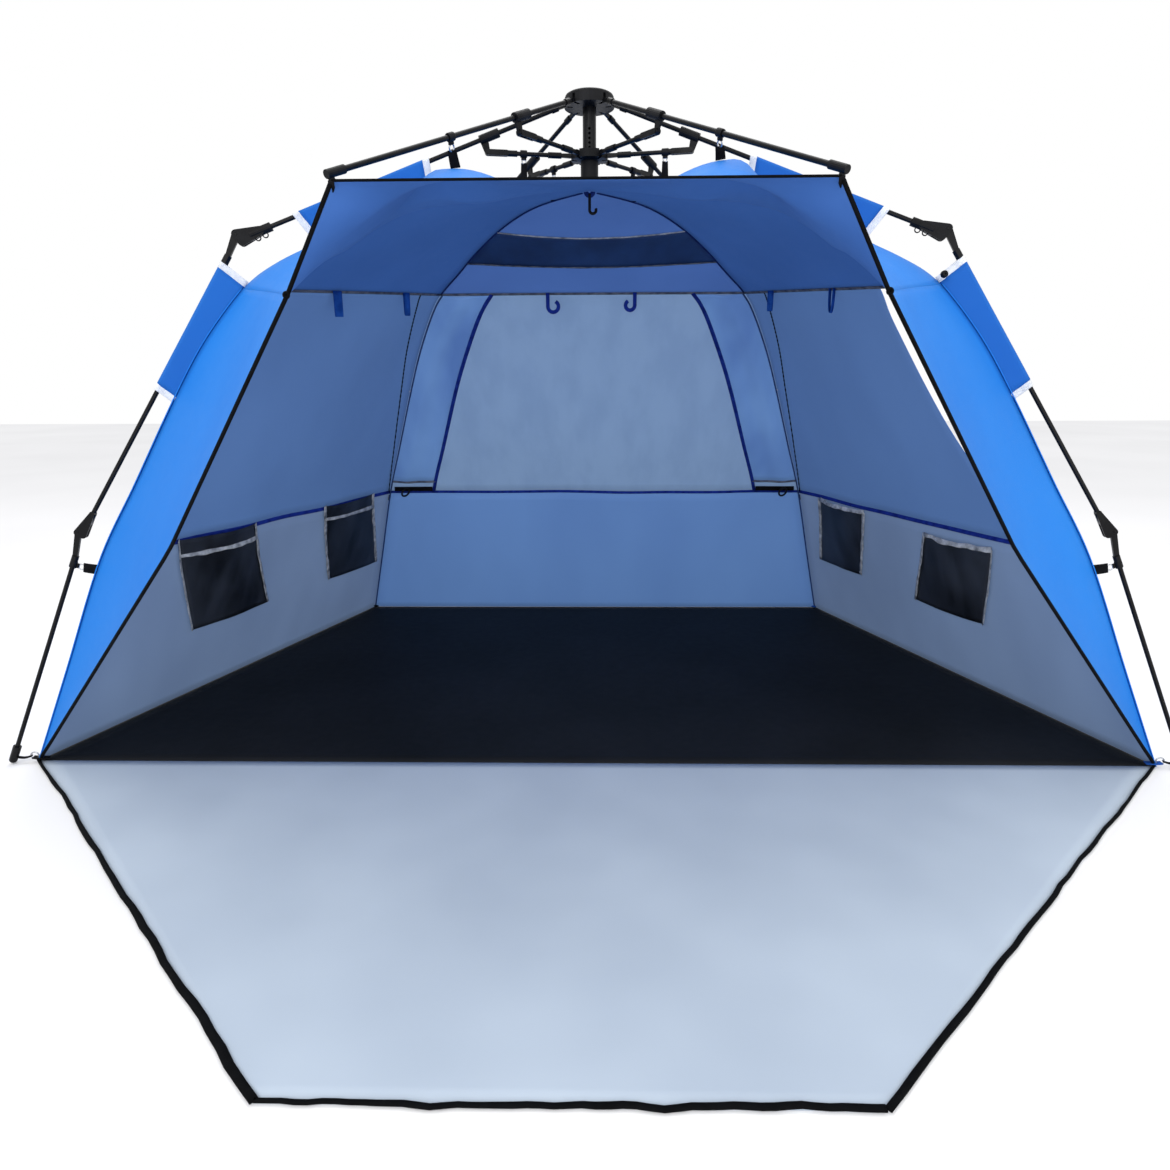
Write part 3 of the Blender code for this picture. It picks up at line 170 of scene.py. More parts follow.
# Materials


class Bench:
    """A material's nodes while it is being made."""

    def __init__(self, name: str) -> None:
        """Start a material with one shader.

        Args:
            name: Material name.
        """
        self.material = bpy.data.materials.new(name)
        self.material.use_nodes = True
        self.tree = self.material.node_tree
        self.shader = self.tree.nodes["Principled BSDF"]
        self.place = self.node("ShaderNodeTexCoord", {}).outputs["Object"]

    def node(self, kind: str, inputs: dict[str | int, object], **values: str) -> bpy.types.Node:
        """Add a node.

        Args:
            kind: Blender's node type.
            inputs: A number or a socket to link for each input.
            **values: Node properties.

        Returns:
            The node.
        """
        node = self.tree.nodes.new(kind)
        for key, value in values.items():
            setattr(node, key, value)
        for key, value in inputs.items():
            if isinstance(value, Socket):
                self.tree.links.new(value, node.inputs[key])
            else:
                node.inputs[key].default_value = value
        return node

    def cloud(self, scale: float, detail: float = 3.0, stretch: Sequence[float] = (1, 1, 1)) -> Socket:
        """A soft noise value.

        Args:
            scale: Noise scale, per metre.
            detail: Octaves.
            stretch: Stretch along each axis.

        Returns:
            The noise value's socket.
        """
        mapping = self.node("ShaderNodeMapping", {"Scale": stretch, "Vector": self.place})
        inputs = {"Scale": scale, "Detail": detail, "Vector": mapping.outputs["Vector"]}
        return self.node("ShaderNodeTexNoise", inputs).outputs["Fac"]

    def ribs(self, scale: float, direction: str) -> Socket:
        """Parallel ribs, so many to the metre, along X, Y, Z or DIAGONAL."""
        inputs = {"Scale": scale, "Distortion": 0.6, "Vector": self.place}
        return self.node("ShaderNodeTexWave", inputs, wave_type="BANDS",
                         bands_direction=direction).outputs["Fac"]

    def coloured(self, value: Socket, low: Colour, high: Colour, start: float = 0.3,
                 end: float = 0.7) -> None:
        """Colour the shader by a ramp over a value.

        Args:
            value: Driving socket.
            low: Colour at the low end.
            high: Colour at the high end.
            start: Value where the low colour ends.
            end: Value where the high colour begins.
        """
        ramp = self.node("ShaderNodeValToRGB", {"Fac": value})
        for i, (place, colour) in enumerate(((start, low), (end, high))):
            ramp.color_ramp.elements[i].position = place
            ramp.color_ramp.elements[i].color = colour
        self.tree.links.new(ramp.outputs["Color"], self.shader.inputs["Base Color"])

    def summed(self, first: Socket, second: Socket, share: float) -> Socket:
        """The first value plus a share of the second."""
        inputs = {0: second, 1: share, 2: first}
        return self.node("ShaderNodeMath", inputs, operation="MULTIPLY_ADD").outputs[0]

    def raised(self, height: Socket, depth: float, strength: float) -> None:
        """Bump the surface by a height value, with a depth in metres and a strength of 0 to 1."""
        bump = self.node("ShaderNodeBump", {"Strength": strength, "Distance": depth, "Height": height})
        self.tree.links.new(bump.outputs["Normal"], self.shader.inputs["Normal"])

    def roughened(self, value: Socket, low: float, high: float) -> None:
        """Vary the roughness between two numbers with a value."""
        spread = self.node("ShaderNodeMapRange", {"To Min": low, "To Max": high, "Value": value})
        self.tree.links.new(spread.outputs["Result"], self.shader.inputs["Roughness"])

    def set(self, **values: object) -> Material:
        """Set shader sockets by name, with underscores for spaces, and give the material."""
        for key, value in values.items():
            self.shader.inputs[key.replace("_", " ")].default_value = value
        self.material.diffuse_color = self.shader.inputs["Base Color"].default_value
        return self.material


@dataclass(frozen=True)
class WovenCloth:
    """Coated polyester with a plain weave, soft shade changes and a painted glow: emission standing in for
    daylight through it and the light inside the tent.
    """

    name: str
    light: Colour
    dark: Colour
    roughness: float
    glow: float
    shade_scale: float
    threads: float = 900.0
    crease: float = 0.0016

    def build(self) -> Material:
        """Make the material."""
        bench = Bench(self.name)
        bench.coloured(bench.cloud(self.shade_scale, 2.0, (1.4, 1.4, 0.5)), self.dark, self.light, 0.32, 0.68)
        weave = bench.summed(bench.ribs(self.threads, "Z"), bench.ribs(self.threads, "DIAGONAL"), 0.8)
        creases = bench.cloud(9.0, 5.0, (1.0, 1.0, 0.45))
        bench.raised(bench.summed(creases, weave, 0.035), self.crease, 0.55)
        bench.roughened(bench.cloud(40.0), self.roughness - 0.06, self.roughness + 0.08)
        # Emission in the cloth's light colour is a painted glow that brightens the shaded inside of the tent.
        return bench.set(Specular_IOR_Level=0.18, Emission_Color=self.light, Emission_Strength=self.glow)


@dataclass(frozen=True)
class HardFinish:
    """Paint, moulded nylon or plating, with shade changes, a fine grain and rubbed places."""

    name: str
    dark: Colour
    light: Colour
    marks: tuple[float, float, Triple]
    grain: Pair
    depth: Pair
    polish: float
    roughness: Pair

    def build(self, **values: float) -> Material:
        """Make the material, with the shader's other values."""
        bench = Bench(self.name)
        marks = bench.cloud(*self.marks)
        bench.coloured(marks, self.dark, self.light)
        bench.raised(bench.cloud(*self.grain) if self.grain[0] else marks, *self.depth)
        bench.roughened(bench.cloud(self.polish) if self.polish else marks, *self.roughness)
        return bench.set(**values)


@dataclass(frozen=True)
class Net:
    """Fine knitted net, with thread rows both ways, painted shade and sheen along its folds, and a painted
    glow.
    """

    name: str
    light: Colour
    dark: Colour
    pitch: float = 330.0
    roughness: float = 0.45
    glow: float = 0.0
    # Spread of the painted fold shade and sheen over the fold noise.
    folds: float = 1.0

    def build(self) -> Material:
        """Make the material."""
        bench = Bench(self.name)
        threads = bench.summed(bench.ribs(self.pitch, "Z"), bench.ribs(self.pitch, "DIAGONAL"), 0.8)
        folds = bench.cloud(5.0, 4.0, (2.4, 2.4, 0.6))
        # Colour follows the fold noise: painted shade and sheen on the folds.
        bench.coloured(bench.summed(folds, threads, 0.12), self.dark, self.light,
                       0.59 - 0.19 * self.folds, 0.59 + 0.19 * self.folds)
        bench.raised(bench.summed(folds, threads, 0.25), 0.0016, 0.6)
        bench.roughened(threads, self.roughness - 0.1, self.roughness + 0.15)
        # Emission in the light colour is a painted glow, as of light through the net.
        return bench.set(Specular_IOR_Level=0.3, Emission_Color=self.light, Emission_Strength=self.glow)


@dataclass(frozen=True)
class Webbing:
    """Ribbed tape or strap."""

    name: str
    light: Colour
    dark: Colour
    rib: float
    roughness: float = 0.7

    def build(self) -> Material:
        """Make the material."""
        bench = Bench(self.name)
        ribs = bench.summed(bench.ribs(self.rib, "X"), bench.ribs(self.rib, "Z"), 1.0)
        bench.coloured(bench.summed(bench.cloud(50.0), ribs, 0.12), self.dark, self.light, 0.38, 0.8)
        bench.raised(ribs, 0.0004, 0.7)
        bench.roughened(ribs, self.roughness - 0.08, self.roughness + 0.1)
        return bench.set(Specular_IOR_Level=0.06)


class Palette:
    """Every finish of the tent, made once."""

    def __init__(self) -> None:
        """Make the materials."""
        self.pole = HardFinish("black_pole_paint", srgb(8, 8, 9), srgb(18, 18, 20),
                               (60.0, 3.0, (1.0, 1.0, 0.15)), (0.0, 0.0), (0.0002, 0.3), 25.0,
                               (0.22, 0.36)).build(Specular_IOR_Level=0.16)
        self.plastic = HardFinish("black_moulded_nylon", srgb(11, 11, 12), srgb(26, 26, 28),
                                  (30.0, 4.0, (1, 1, 1)), (1800.0, 2.0), (0.00015, 0.5), 120.0,
                                  (0.36, 0.52)).build(Specular_IOR_Level=0.12)
        self.ring = HardFinish("plated_wire", srgb(150, 152, 156), srgb(205, 207, 210),
                               (400.0, 4.0, (1, 1, 1)), (0.0, 0.0), (0.0001, 0.4), 0.0,
                               (0.18, 0.36)).build(Metallic=0.9)
        cloth, tape = self.cloth, self.tape
        self.outer = cloth("outer_blue_cloth", (30, 122, 212), (26, 113, 203))
        self.flap = cloth("flap_blue_cloth", (24, 100, 184), (21, 91, 175))
        # Each lining glows: painted light in the tent's shaded inside. The roof, rear roof, wall and back
        # linings are also lighter and darker copies of one lining cloth, painted light and shade by zone.
        self.roof_inner = cloth("roof_lining_cloth", (64, 106, 176), (54, 92, 158), glow=0.22)
        self.rear_roof_inner = cloth("rear_roof_lining_cloth", (82, 118, 186), (70, 104, 170), glow=0.28)
        self.wall_inner = cloth("wall_lining_cloth", (92, 126, 178), (80, 112, 164), glow=0.33)
        self.sill_inner = cloth("lower_wall_lining_cloth", (118, 140, 174), (92, 112, 146), glow=0.34)
        self.back_inner = cloth("back_lining_cloth", (100, 138, 194), (88, 124, 182), glow=0.38)
        # The cover's wide light-to-dark spread is painted shade of its folds, and its glow is painted light.
        self.cover = cloth("rolled_cover_cloth", (114, 154, 208), (64, 100, 172), glow=0.30, shade_scale=4.0)
        self.vent = Net("vent_net", srgb(36, 68, 122), srgb(24, 50, 96)).build()
        # The window net's glow is painted light, as of daylight through it from behind.
        self.window = Net("window_net", srgb(128, 156, 192), srgb(114, 142, 182), 260.0, 0.55, 0.40,
                          0.6).build()
        # The pocket net's light colour on its folds is a painted silvery sheen over black net.
        self.pocket = Net("pocket_net", srgb(58, 64, 76), srgb(12, 15, 22), 330.0, 0.36).build()
        self.floor = cloth("floor_cloth_black", (18, 20, 25), (9, 11, 14), roughness=0.66)
        self.porch = cloth("porch_cloth_pale", (180, 193, 208), (170, 183, 199), roughness=0.55)
        self.trim = tape("black_binding_tape", (15, 16, 19), (7, 8, 10))
        self.strap = tape("black_strap_webbing", (26, 26, 29), (11, 11, 13), 420.0)
        self.royal = tape("royal_blue_binding_tape", (40, 66, 172), (24, 42, 128))
        self.navy = tape("navy_loop_webbing", (34, 56, 130), (20, 34, 88))
        self.tab = tape("blue_tab_webbing", (40, 96, 190), (26, 70, 150))
        self.dim_seam = tape("inner_seam_tape", (66, 92, 146), (46, 66, 116))
        self.piping = tape("grey_seam_piping", (128, 134, 148), (70, 78, 100))
        self.hem = tape("white_crinkled_hem_tape", (240, 242, 245), (206, 210, 216), 240.0)
        self.stitched = tape("white_stitched_tape", (224, 227, 231), (112, 118, 128), 380.0)
        self.seam = tape("outer_blue_seam_tape", (26, 96, 196), (20, 82, 174))

    @staticmethod
    def cloth(name: str, light: Screen, dark: Screen, roughness: float = 0.6, glow: float = 0.0,
              shade_scale: float = 2.2) -> Material:
        """Make a woven cloth from two screen colours."""
        return WovenCloth(name, srgb(*light), srgb(*dark), roughness, glow, shade_scale).build()

    @staticmethod
    def tape(name: str, light: Screen, dark: Screen, rib: float = 700.0) -> Material:
        """Make a tape's webbing from two screen colours."""
        return Webbing(name, srgb(*light), srgb(*dark), rib).build()


# Meshes


def new_piece(name: str, shape: bmesh.types.BMesh, materials: Sequence[Material]) -> Piece:
    """Turn a finished mesh into an object.

    Args:
        name: Piece name.
        shape: The mesh being edited, which is freed.
        materials: Material slots.

    Returns:
        The linked object.
    """
    mesh = bpy.data.meshes.new(name)
    shape.to_mesh(mesh)
    shape.free()
    for polygon in mesh.polygons:
        polygon.use_smooth = True
    for material in materials:
        mesh.materials.append(material)
    piece = bpy.data.objects.new(name, mesh)
    bpy.context.scene.collection.objects.link(piece)
    return piece


def cloth_sheet(name: str, rows: Grid, materials: Sequence[Material],
                outward: Callable[[Vector], Vector], thickness: float) -> Piece:
    """A thin sheet through a grid of points, with its own outer and inner finish.

    Args:
        name: Piece name.
        rows: Grid of points.
        materials: Outer finish, then inner finish.
        outward: Direction of the outer face at a point.
        thickness: Cloth thickness.

    Returns:
        The sheet.
    """
    shape = bmesh.new()
    made = [[shape.verts.new(point) for point in row] for row in rows]
    for near, far in zip(made, made[1:]):
        for c in range(len(near) - 1):
            shape.faces.new((near[c], near[c + 1], far[c + 1], far[c]))
    bmesh.ops.remove_doubles(shape, verts=shape.verts, dist=MERGE_DISTANCE)
    shape.normal_update()
    if sum(face.normal.dot(outward(face.calc_center_median())) for face in shape.faces) < 0:
        bmesh.ops.reverse_faces(shape, faces=shape.faces)
    piece = new_piece(name, shape, materials)
    solid = piece.modifiers.new("thickness", "SOLIDIFY")
    solid.thickness = thickness
    solid.offset = 0.0
    solid.use_rim = True
    solid.material_offset = len(materials) - 1
    return piece


def swept(name: str, path: Sequence[Vector], facing: Facing, section: Sequence[Pair], material: Material,
          closed: bool = False, sizes: Sequence[float] | None = None) -> Piece:
    """A solid swept along a path.

    Args:
        name: Piece name.
        path: Points along the middle.
        facing: Direction of the flat side, one for all or one for each point.
        section: Cross-section points, across and along the facing.
        material: Finish.
        closed: Whether the path is a ring.
        sizes: Scale of the section's width at each point.

    Returns:
        The solid.
    """
    shape = bmesh.new()
    rings = []
    last = len(path) - 1
    for i, point in enumerate(path):
        before = path[i - 1] if i > 0 or closed else path[0]
        after = path[(i + 1) % len(path)] if i < last or closed else path[last]
        along = (after - before).normalized()
        across = along.cross(facing if isinstance(facing, Vector) else facing[i]).normalized()
        normal = across.cross(along).normalized()
        width = sizes[i] if sizes else 1.0
        rings.append([shape.verts.new(point + across * u * width + normal * v) for u, v in section])
    pairs = list(zip(rings, rings[1:])) + ([(rings[-1], rings[0])] if closed else [])
    for lower, upper in pairs:
        for i in range(len(section)):
            j = (i + 1) % len(section)
            shape.faces.new((lower[i], lower[j], upper[j], upper[i]))
    if not closed:
        shape.faces.new(rings[0])
        shape.faces.new(rings[-1])
    bmesh.ops.recalc_face_normals(shape, faces=shape.faces)
    return new_piece(name, shape, [material])


def tape_section(width: float, thickness: float) -> list[Pair]:
    """Section of a flat tape with soft edges."""
    half, thin = width / 2, thickness / 2
    return [(-half, 0.0), (-half * 0.86, thin), (half * 0.86, thin),
            (half, 0.0), (half * 0.86, -thin), (-half * 0.86, -thin)]


def round_section(radius: float, sides: int) -> list[Pair]:
    """Section of a round cord."""
    turns = [math.tau * i / sides for i in range(sides)]
    return [(radius * math.cos(turn), radius * math.sin(turn)) for turn in turns]


def turned(name: str, start: Vector, along: Vector, profile: Sequence[Pair], material: Material,
           sides: int = 24) -> Piece:
    """A turned piece on an axis.

    Args:
        name: Piece name.
        start: Point of the axis where the profile begins.
        along: Direction of the axis.
        profile: Closed ring of (radius, distance) points, never on the axis.
        material: Finish.
        sides: Steps round the axis.

    Returns:
        The piece.
    """
    shape = bmesh.new()
    along = along.normalized()
    first = along.orthogonal().normalized()
    second = along.cross(first)
    rings = []
    for i in range(sides):
        turn = math.tau * i / sides
        out = first * math.cos(turn) + second * math.sin(turn)
        rings.append([shape.verts.new(start + out * radius + along * step) for radius, step in profile])
    for i in range(sides):
        ring, following = rings[i], rings[(i + 1) % sides]
        for j in range(len(profile)):
            k = (j + 1) % len(profile)
            shape.faces.new((ring[j], ring[k], following[k], following[j]))
    bmesh.ops.recalc_face_normals(shape, faces=shape.faces)
    return new_piece(name, shape, [material])


def hoop(name: str, centre: Vector, normal: Vector, radius: float, wire: float, material: Material,
         stretch: float = 1.0, steps: int = 28) -> Piece:
    """A wire ring.

    Args:
        name: Piece name.
        centre: Middle of the ring.
        normal: Its axis.
        radius: Radius of its centre line.
        wire: Wire radius.
        material: Finish.
        stretch: Length over width, for an oval.
        steps: Steps round the ring.

    Returns:
        The ring.
    """
    normal = normal.normalized()
    first = normal.orthogonal().normalized()
    second = normal.cross(first)
    turns = [math.tau * i / steps for i in range(steps)]
    path = [centre + first * radius * math.cos(turn) * stretch + second * radius * math.sin(turn)
            for turn in turns]
    return swept(name, path, normal, round_section(wire, 8), material, closed=True)


# Shape of the cloth


@dataclass(frozen=True)
class TentShape:
    """Where the cloth runs, from the same ridges, corners and sags as the frame's own part."""

    side_azimuth: float = math.radians(79.25)
    rear_azimuth: float = math.radians(140.0)
    front_azimuth: float = math.radians(37.4)
    side_line: tuple[Pair, ...] = tuple(zip(SIDE_RADII, RIDGE_HEIGHTS))
    rear_line: tuple[Pair, ...] = tuple(zip(REAR_RADII, RIDGE_HEIGHTS))
    crown: float = 1.222
    edge_sill: Triple = (0.800, -0.379, 0.520)
    edge_seam: Triple = (0.480, -0.4975, 0.965)
    corner: Triple = (0.380, -0.540, 1.122)
    ground_clear: float = 0.0012
    side_seam_level: float = 5.95
    front_bow: float = 1.2
    front_fullness: float = 0.25
    slit_line: tuple[Pair, ...] = (
        (2.0, 0.154), (3.0, 0.184), (4.0, 0.243), (5.0, 0.264), (6.0, 0.266), (7.0, 0.236))
    ripple: float = 0.008
    wall_sag: float = 0.016
    front_sag: float = 0.020
    sill_level: float = 2.0
    seam_level: float = 7.0
    hub_pivot: Pair = (0.040, 1.385)
    arm_tilt: float = math.radians(22.2)
    knee: Pair = (0.72309, 1.11758)
    upper_leg_tilt: float = math.radians(57.28)
    shin: Pair = (1.109, 0.522)
    foot: Pair = (1.325, 0.0085)

    def azimuth(self, leg: Leg) -> float:
        """Direction of a leg round the mast."""
        return self.side_azimuth if leg is Leg.SIDE else self.rear_azimuth

    def heading(self, azimuth: float, hand: Hand) -> Vector:
        """Level direction out from the mast."""
        return Vector((hand.value * math.sin(azimuth), -math.cos(azimuth), 0.0))

    def ridge(self, leg: Leg, level: float, hand: Hand) -> Vector:
        """Ridge point at a level: nought at the floor, seven at the seam, twelve at the crown."""
        radius, height = smooth_curve(self.side_line if leg is Leg.SIDE else self.rear_line, level)
        return self.heading(self.azimuth(leg), hand) * radius + UP * max(height, self.ground_clear)

    def wall_ridge(self, leg: Leg, level: float, hand: Hand) -> Vector:
        """Ridge point of a wall's level; the side ridge meets the roof's seam further down."""
        if leg is Leg.SIDE and level > self.sill_level:
            share = (self.side_seam_level - self.sill_level) / (self.seam_level - self.sill_level)
            level = self.sill_level + (level - self.sill_level) * share
        return self.ridge(leg, level, hand)

    def sagged(self, ends: tuple[Vector, Vector], share: float, level: float, sag: float) -> Vector:
        """A point between two ridges, drawn in towards the mast.

        Args:
            ends: Point of each ridge.
            share: Share of the way.
            level: Level of the points.
            sag: Greatest depth in metres.

        Returns:
            The point.
        """
        start, end = ends
        chord = end - start
        toward_mast = Vector((-chord.y, chord.x, 0.0)).normalized()
        point = start.lerp(end, share)
        if toward_mast.dot(point) > 0:
            toward_mast = -toward_mast
        depth = sag * math.sin(math.pi * min(level, self.seam_level) / (self.seam_level + 2))
        return point + toward_mast * depth * 4 * share * (1 - share)

    def side_wall(self, share: float, level: float, hand: Hand) -> Vector:
        """Side wall point, from the side ridge to the rear ridge."""
        ends = (self.wall_ridge(Leg.SIDE, level, hand), self.wall_ridge(Leg.REAR, level, hand))
        return self.sagged(ends, share, level, self.wall_sag)

    def back_wall(self, share: float, level: float) -> Vector:
        """Back wall point, from the left rear ridge to the right one."""
        ends = (self.ridge(Leg.REAR, level, Hand.LEFT), self.ridge(Leg.REAR, level, Hand.RIGHT))
        return self.sagged(ends, share, level, self.wall_sag)

    def front_panel(self, share: float, level: float, hand: Hand) -> Vector:
        """Outer panel point, from the side ridge to the opening's edge."""
        ends = (self.wall_ridge(Leg.SIDE, level, hand), self.edge(level, hand))
        return self.sagged(ends, share, level, self.front_sag)

    def mirrored(self, point: Sequence[float], hand: Hand) -> Vector:
        """A listed point on one side of the tent."""
        return Vector((point[0] * hand.value, point[1], point[2]))

    def edge(self, level: float, hand: Hand) -> Vector:
        """Opening's edge, from the floor corner to the roof seam."""
        sill, seam = self.mirrored(self.edge_sill, hand), self.mirrored(self.edge_seam, hand)
        if level <= self.sill_level:
            return self.ridge(Leg.SIDE, 0.0, hand).lerp(sill, level / self.sill_level)
        return sill.lerp(seam, (level - self.sill_level) / (self.seam_level - self.sill_level))

    def slit(self, level: float, hand: Hand) -> float:
        """Share of the right wall that stands open beside the front panel."""
        if hand is Hand.LEFT or level < self.sill_level:
            return 0.0
        return smooth_curve(self.slit_line, level - self.sill_level)[1]

    def wall_normal(self, wall: Callable[[float, float], Vector], share: float, level: float,
                    toward: Vector) -> Vector:
        """Direction square to a wall.

        Args:
            wall: Wall point for a share and a level.
            share: Share along the wall.
            level: Level.
            toward: Rough direction into the tent.

        Returns:
            The direction, pointing into the tent.
        """
        here = wall(share, level)
        across, rise = wall(share + 0.01, level) - here, wall(share, level + 0.01) - here
        normal = across.cross(rise).normalized()
        return normal if normal.dot(toward) > 0 else -normal

    def slack(self, place: Vector, share: float, level: float, seed: float) -> float:
        """Slack of a wall's cloth at a point, in metres, fading towards its edges."""
        fade = min(1.0, 6 * share, 6 * (1 - share), 1.6 * level, 1.6 * (self.seam_level - level))
        value = noise.noise(Vector((place.x * 4.6, place.y * 4.6, place.z * 1.7 + seed)))
        return self.ripple * value * max(fade, 0.0)

    def rippled_wall(self, share: float, level: float, hand: Hand, off: float = 0.0) -> Vector:
        """Side wall point with the cloth's slack, at a distance into the tent."""
        place = self.side_wall(share, level, hand)
        normal = self.wall_normal(lambda part, at: self.side_wall(part, at, hand), share, level,
                                  Vector((-hand.value, 0.0, 0.0)))
        return place + normal * (off + self.slack(place, share, level, 3.0 * hand.value))

    def rippled_back(self, share: float, level: float, off: float = 0.0) -> Vector:
        """Back wall point with the cloth's slack, at a distance into the tent."""
        place = self.back_wall(share, level)
        normal = self.wall_normal(self.back_wall, share, level, PORCHWARD)
        return place + normal * (off + self.slack(place, share, level, 7.0))

    def level_at(self, height: float) -> float:
        """Find the side ridge's level by halving.

        Args:
            height: Height over the ground.

        Returns:
            The level at that height.
        """
        low, high = 0.0, self.seam_level
        for _ in range(24):
            middle = (low + high) / 2
            if smooth_curve(self.side_line, middle)[1] < height:
                low = middle
            else:
                high = middle
        return low

    def ridge_shares(self, line: Sequence[Pair], start: float, rise: float) -> Pair:
        """How far out and how far down a ridge is, as shares of its place at the roof's seam.

        Args:
            line: Ridge levels.
            start: Level of the seam.
            rise: Share of the way to the crown.

        Returns:
            Out share and drop share.
        """
        first_radius, first_height = smooth_curve(line, start)
        radius, height = smooth_curve(line, start + (len(line) - 1 - start) * rise)
        return radius / first_radius, (self.crown - height) / (self.crown - first_height)

    def roof(self, edge: Vector, soft_edge: Vector, rise: float, mix: float) -> Vector:
        """Roof point on the way from its edge to the crown.

        Args:
            edge: Point of the roof's edge.
            soft_edge: The same point with the edge's corners rounded.
            rise: Share of the way in.
            mix: Profile: nought as the rear ridge, one as the side ridge, two nearly straight.

        Returns:
            The point.
        """
        out, drop = self.ridge_shares(self.side_line, self.side_seam_level, rise)
        rear_out, rear_drop = self.ridge_shares(self.rear_line, self.seam_level, rise)
        side, front = min(mix, 1.0), max(mix - 1.0, 0.0)
        out = rear_out + (out - rear_out) * side
        drop = rear_drop + (drop - rear_drop) * side
        drop += (out ** self.front_bow - drop) * front
        base = edge.lerp(soft_edge, min(1.0, rise * 4))
        across = out ** (1.0 - self.front_fullness * front)
        return Vector((base.x * across, base.y * out, self.crown - (self.crown - base.z) * drop))

    def arm(self, azimuth: float, hand: Hand, radius: float) -> Vector:
        """Point of an arm's axis at a radius."""
        height = self.hub_pivot[1] - (radius - self.hub_pivot[0]) * math.tan(self.arm_tilt)
        return self.heading(azimuth, hand) * radius + UP * height

    def leg_point(self, azimuth: float, hand: Hand, start: Pair, along: float, tilt: float,
                  off: float) -> Vector:
        """Point beside a pole in its own plane.

        Args:
            azimuth: Direction of the pole round the mast.
            hand: Left or right.
            start: Radius and height of the pole's pivot.
            along: Distance down the pole.
            tilt: The pole's angle below the level.
            off: Distance over its axis.

        Returns:
            The point.
        """
        radius = start[0] + along * math.cos(tilt) + off * math.sin(tilt)
        height = start[1] - along * math.sin(tilt) + off * math.cos(tilt)
        return self.heading(azimuth, hand) * radius + UP * height


class Workshop:
    """Makes pieces of cloth and tape, puts pieces on their bodies and says what they are."""

    keep = 0.035

    def __init__(self, shape: TentShape, palette: Palette) -> None:
        """Keep where the cloth runs, and the finishes."""
        self.shape, self.palette = shape, palette

    def put(self, piece: Piece, body: str | None = None) -> None:
        """Fix a piece to a body, or hang it in the cloth body with a mesh of its own."""
        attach(piece, body or CLOTH_BODY)
        if body is None:
            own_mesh(piece)
        LOG.info("%s, %d points", piece.name, len(piece.data.vertices))

    def cloth(self, name: str, rows: Grid, finishes: Sequence[Material], node: str | None, slot: str,
              held: str, cut: tuple[Pair, float], rests_on: list[str], body: str | None = None,
              outward: Callable[[Vector], Vector] = away, thickness: float = CLOTH_THICKNESS) -> None:
        """A sheet of cloth.

        Args:
            name: Piece name.
            rows: Grid of points.
            finishes: Outer finish, then inner finish.
            node: Node of the frame that it stands for.
            slot: Material slot of the part. Not used.
            held: How it is held. Not used.
            cut: Flat width and length, and the area of one face. Not used.
            rests_on: Pieces that it is held by.
            body: Body that it is fixed to, where it doesn't hang.
            outward: Direction of the outer face at a point.
            thickness: Cloth thickness.
        """
        sheet = cloth_sheet(name, rows, finishes, outward, thickness)
        if node:
            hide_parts(node)
        self.put(sheet, body)
        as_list(rests_on)

    def tape(self, name: str, path: Sequence[Vector], facing: Facing, width: float, thickness: float,
             material: Material, sizes: Sequence[float] | None = None, body: str | None = None) -> None:
        """A tape or strap along a path.

        Args:
            name: Piece name.
            path: Points along its middle.
            facing: Direction of its flat side, one for all or one for each point.
            width: Tape width.
            thickness: Tape thickness.
            material: Finish.
            sizes: Scale of the width at each point.
            body: Body that it is fixed to, where it doesn't hang.
        """
        self.put(swept(name, path, facing, tape_section(width, thickness), material, sizes=sizes), body)

    def crease(self, rows: Grid, depth: float, scale: float, seed: float, upright: float) -> Grid:
        """Give a grid soft creases that fade at its border.

        Args:
            rows: Grid of points.
            depth: Depth in metres.
            scale: Crease scale, per metre.
            seed: Shift of the pattern.
            upright: Stretch of the pattern upwards.

        Returns:
            The creased grid.
        """
        height, width = len(rows) - 1, len(rows[0]) - 1
        creased = []
        for r, row in enumerate(rows):
            line = []
            for c, point in enumerate(row):
                across = rows[r][min(c + 1, width)] - rows[r][max(c - 1, 0)]
                rise = rows[min(r + 1, height)][c] - rows[max(r - 1, 0)][c]
                normal = across.cross(rise)
                if normal.length < 1e-9:
                    line.append(point.copy())
                    continue
                fade = min(1.0, 5 * r / height, 5 * (height - r) / height,
                           5 * c / width, 5 * (width - c) / width)
                place = Vector((point.x, point.y, point.z * upright)) * scale
                value = noise.noise(place + Vector((seed, seed * 1.7, 0.0)))
                line.append(point + normal.normalized() * value * depth * fade)
            creased.append(line)
        return creased


# Sub-assemblies


@dataclass
class SubAssembly:
    """Some of the tent's pieces, with the workshop that makes them."""

    shop: Workshop

    @property
    def shape(self) -> TentShape:
        """Where the cloth runs."""
        return self.shop.shape

    @property
    def palette(self) -> Palette:
        """Finishes."""
        return self.shop.palette


@dataclass
class FrameDress(SubAssembly):
    """Finishes of the poles and mouldings that come from the part itself."""

    pole_words: tuple[str, ...] = ("_arm", "_strut", "_leg", "mast_tube")

    def build(self) -> None:
        """Give every shown node of the frame its finish."""
        for name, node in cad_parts.items():
            material = self.palette.pole if name.endswith(self.pole_words) else self.palette.plastic
            if not node.material_slots:
                node.data.materials.append(material)
            for slot in node.material_slots:
                slot.material = material
            LOG.info("%s dressed", name)


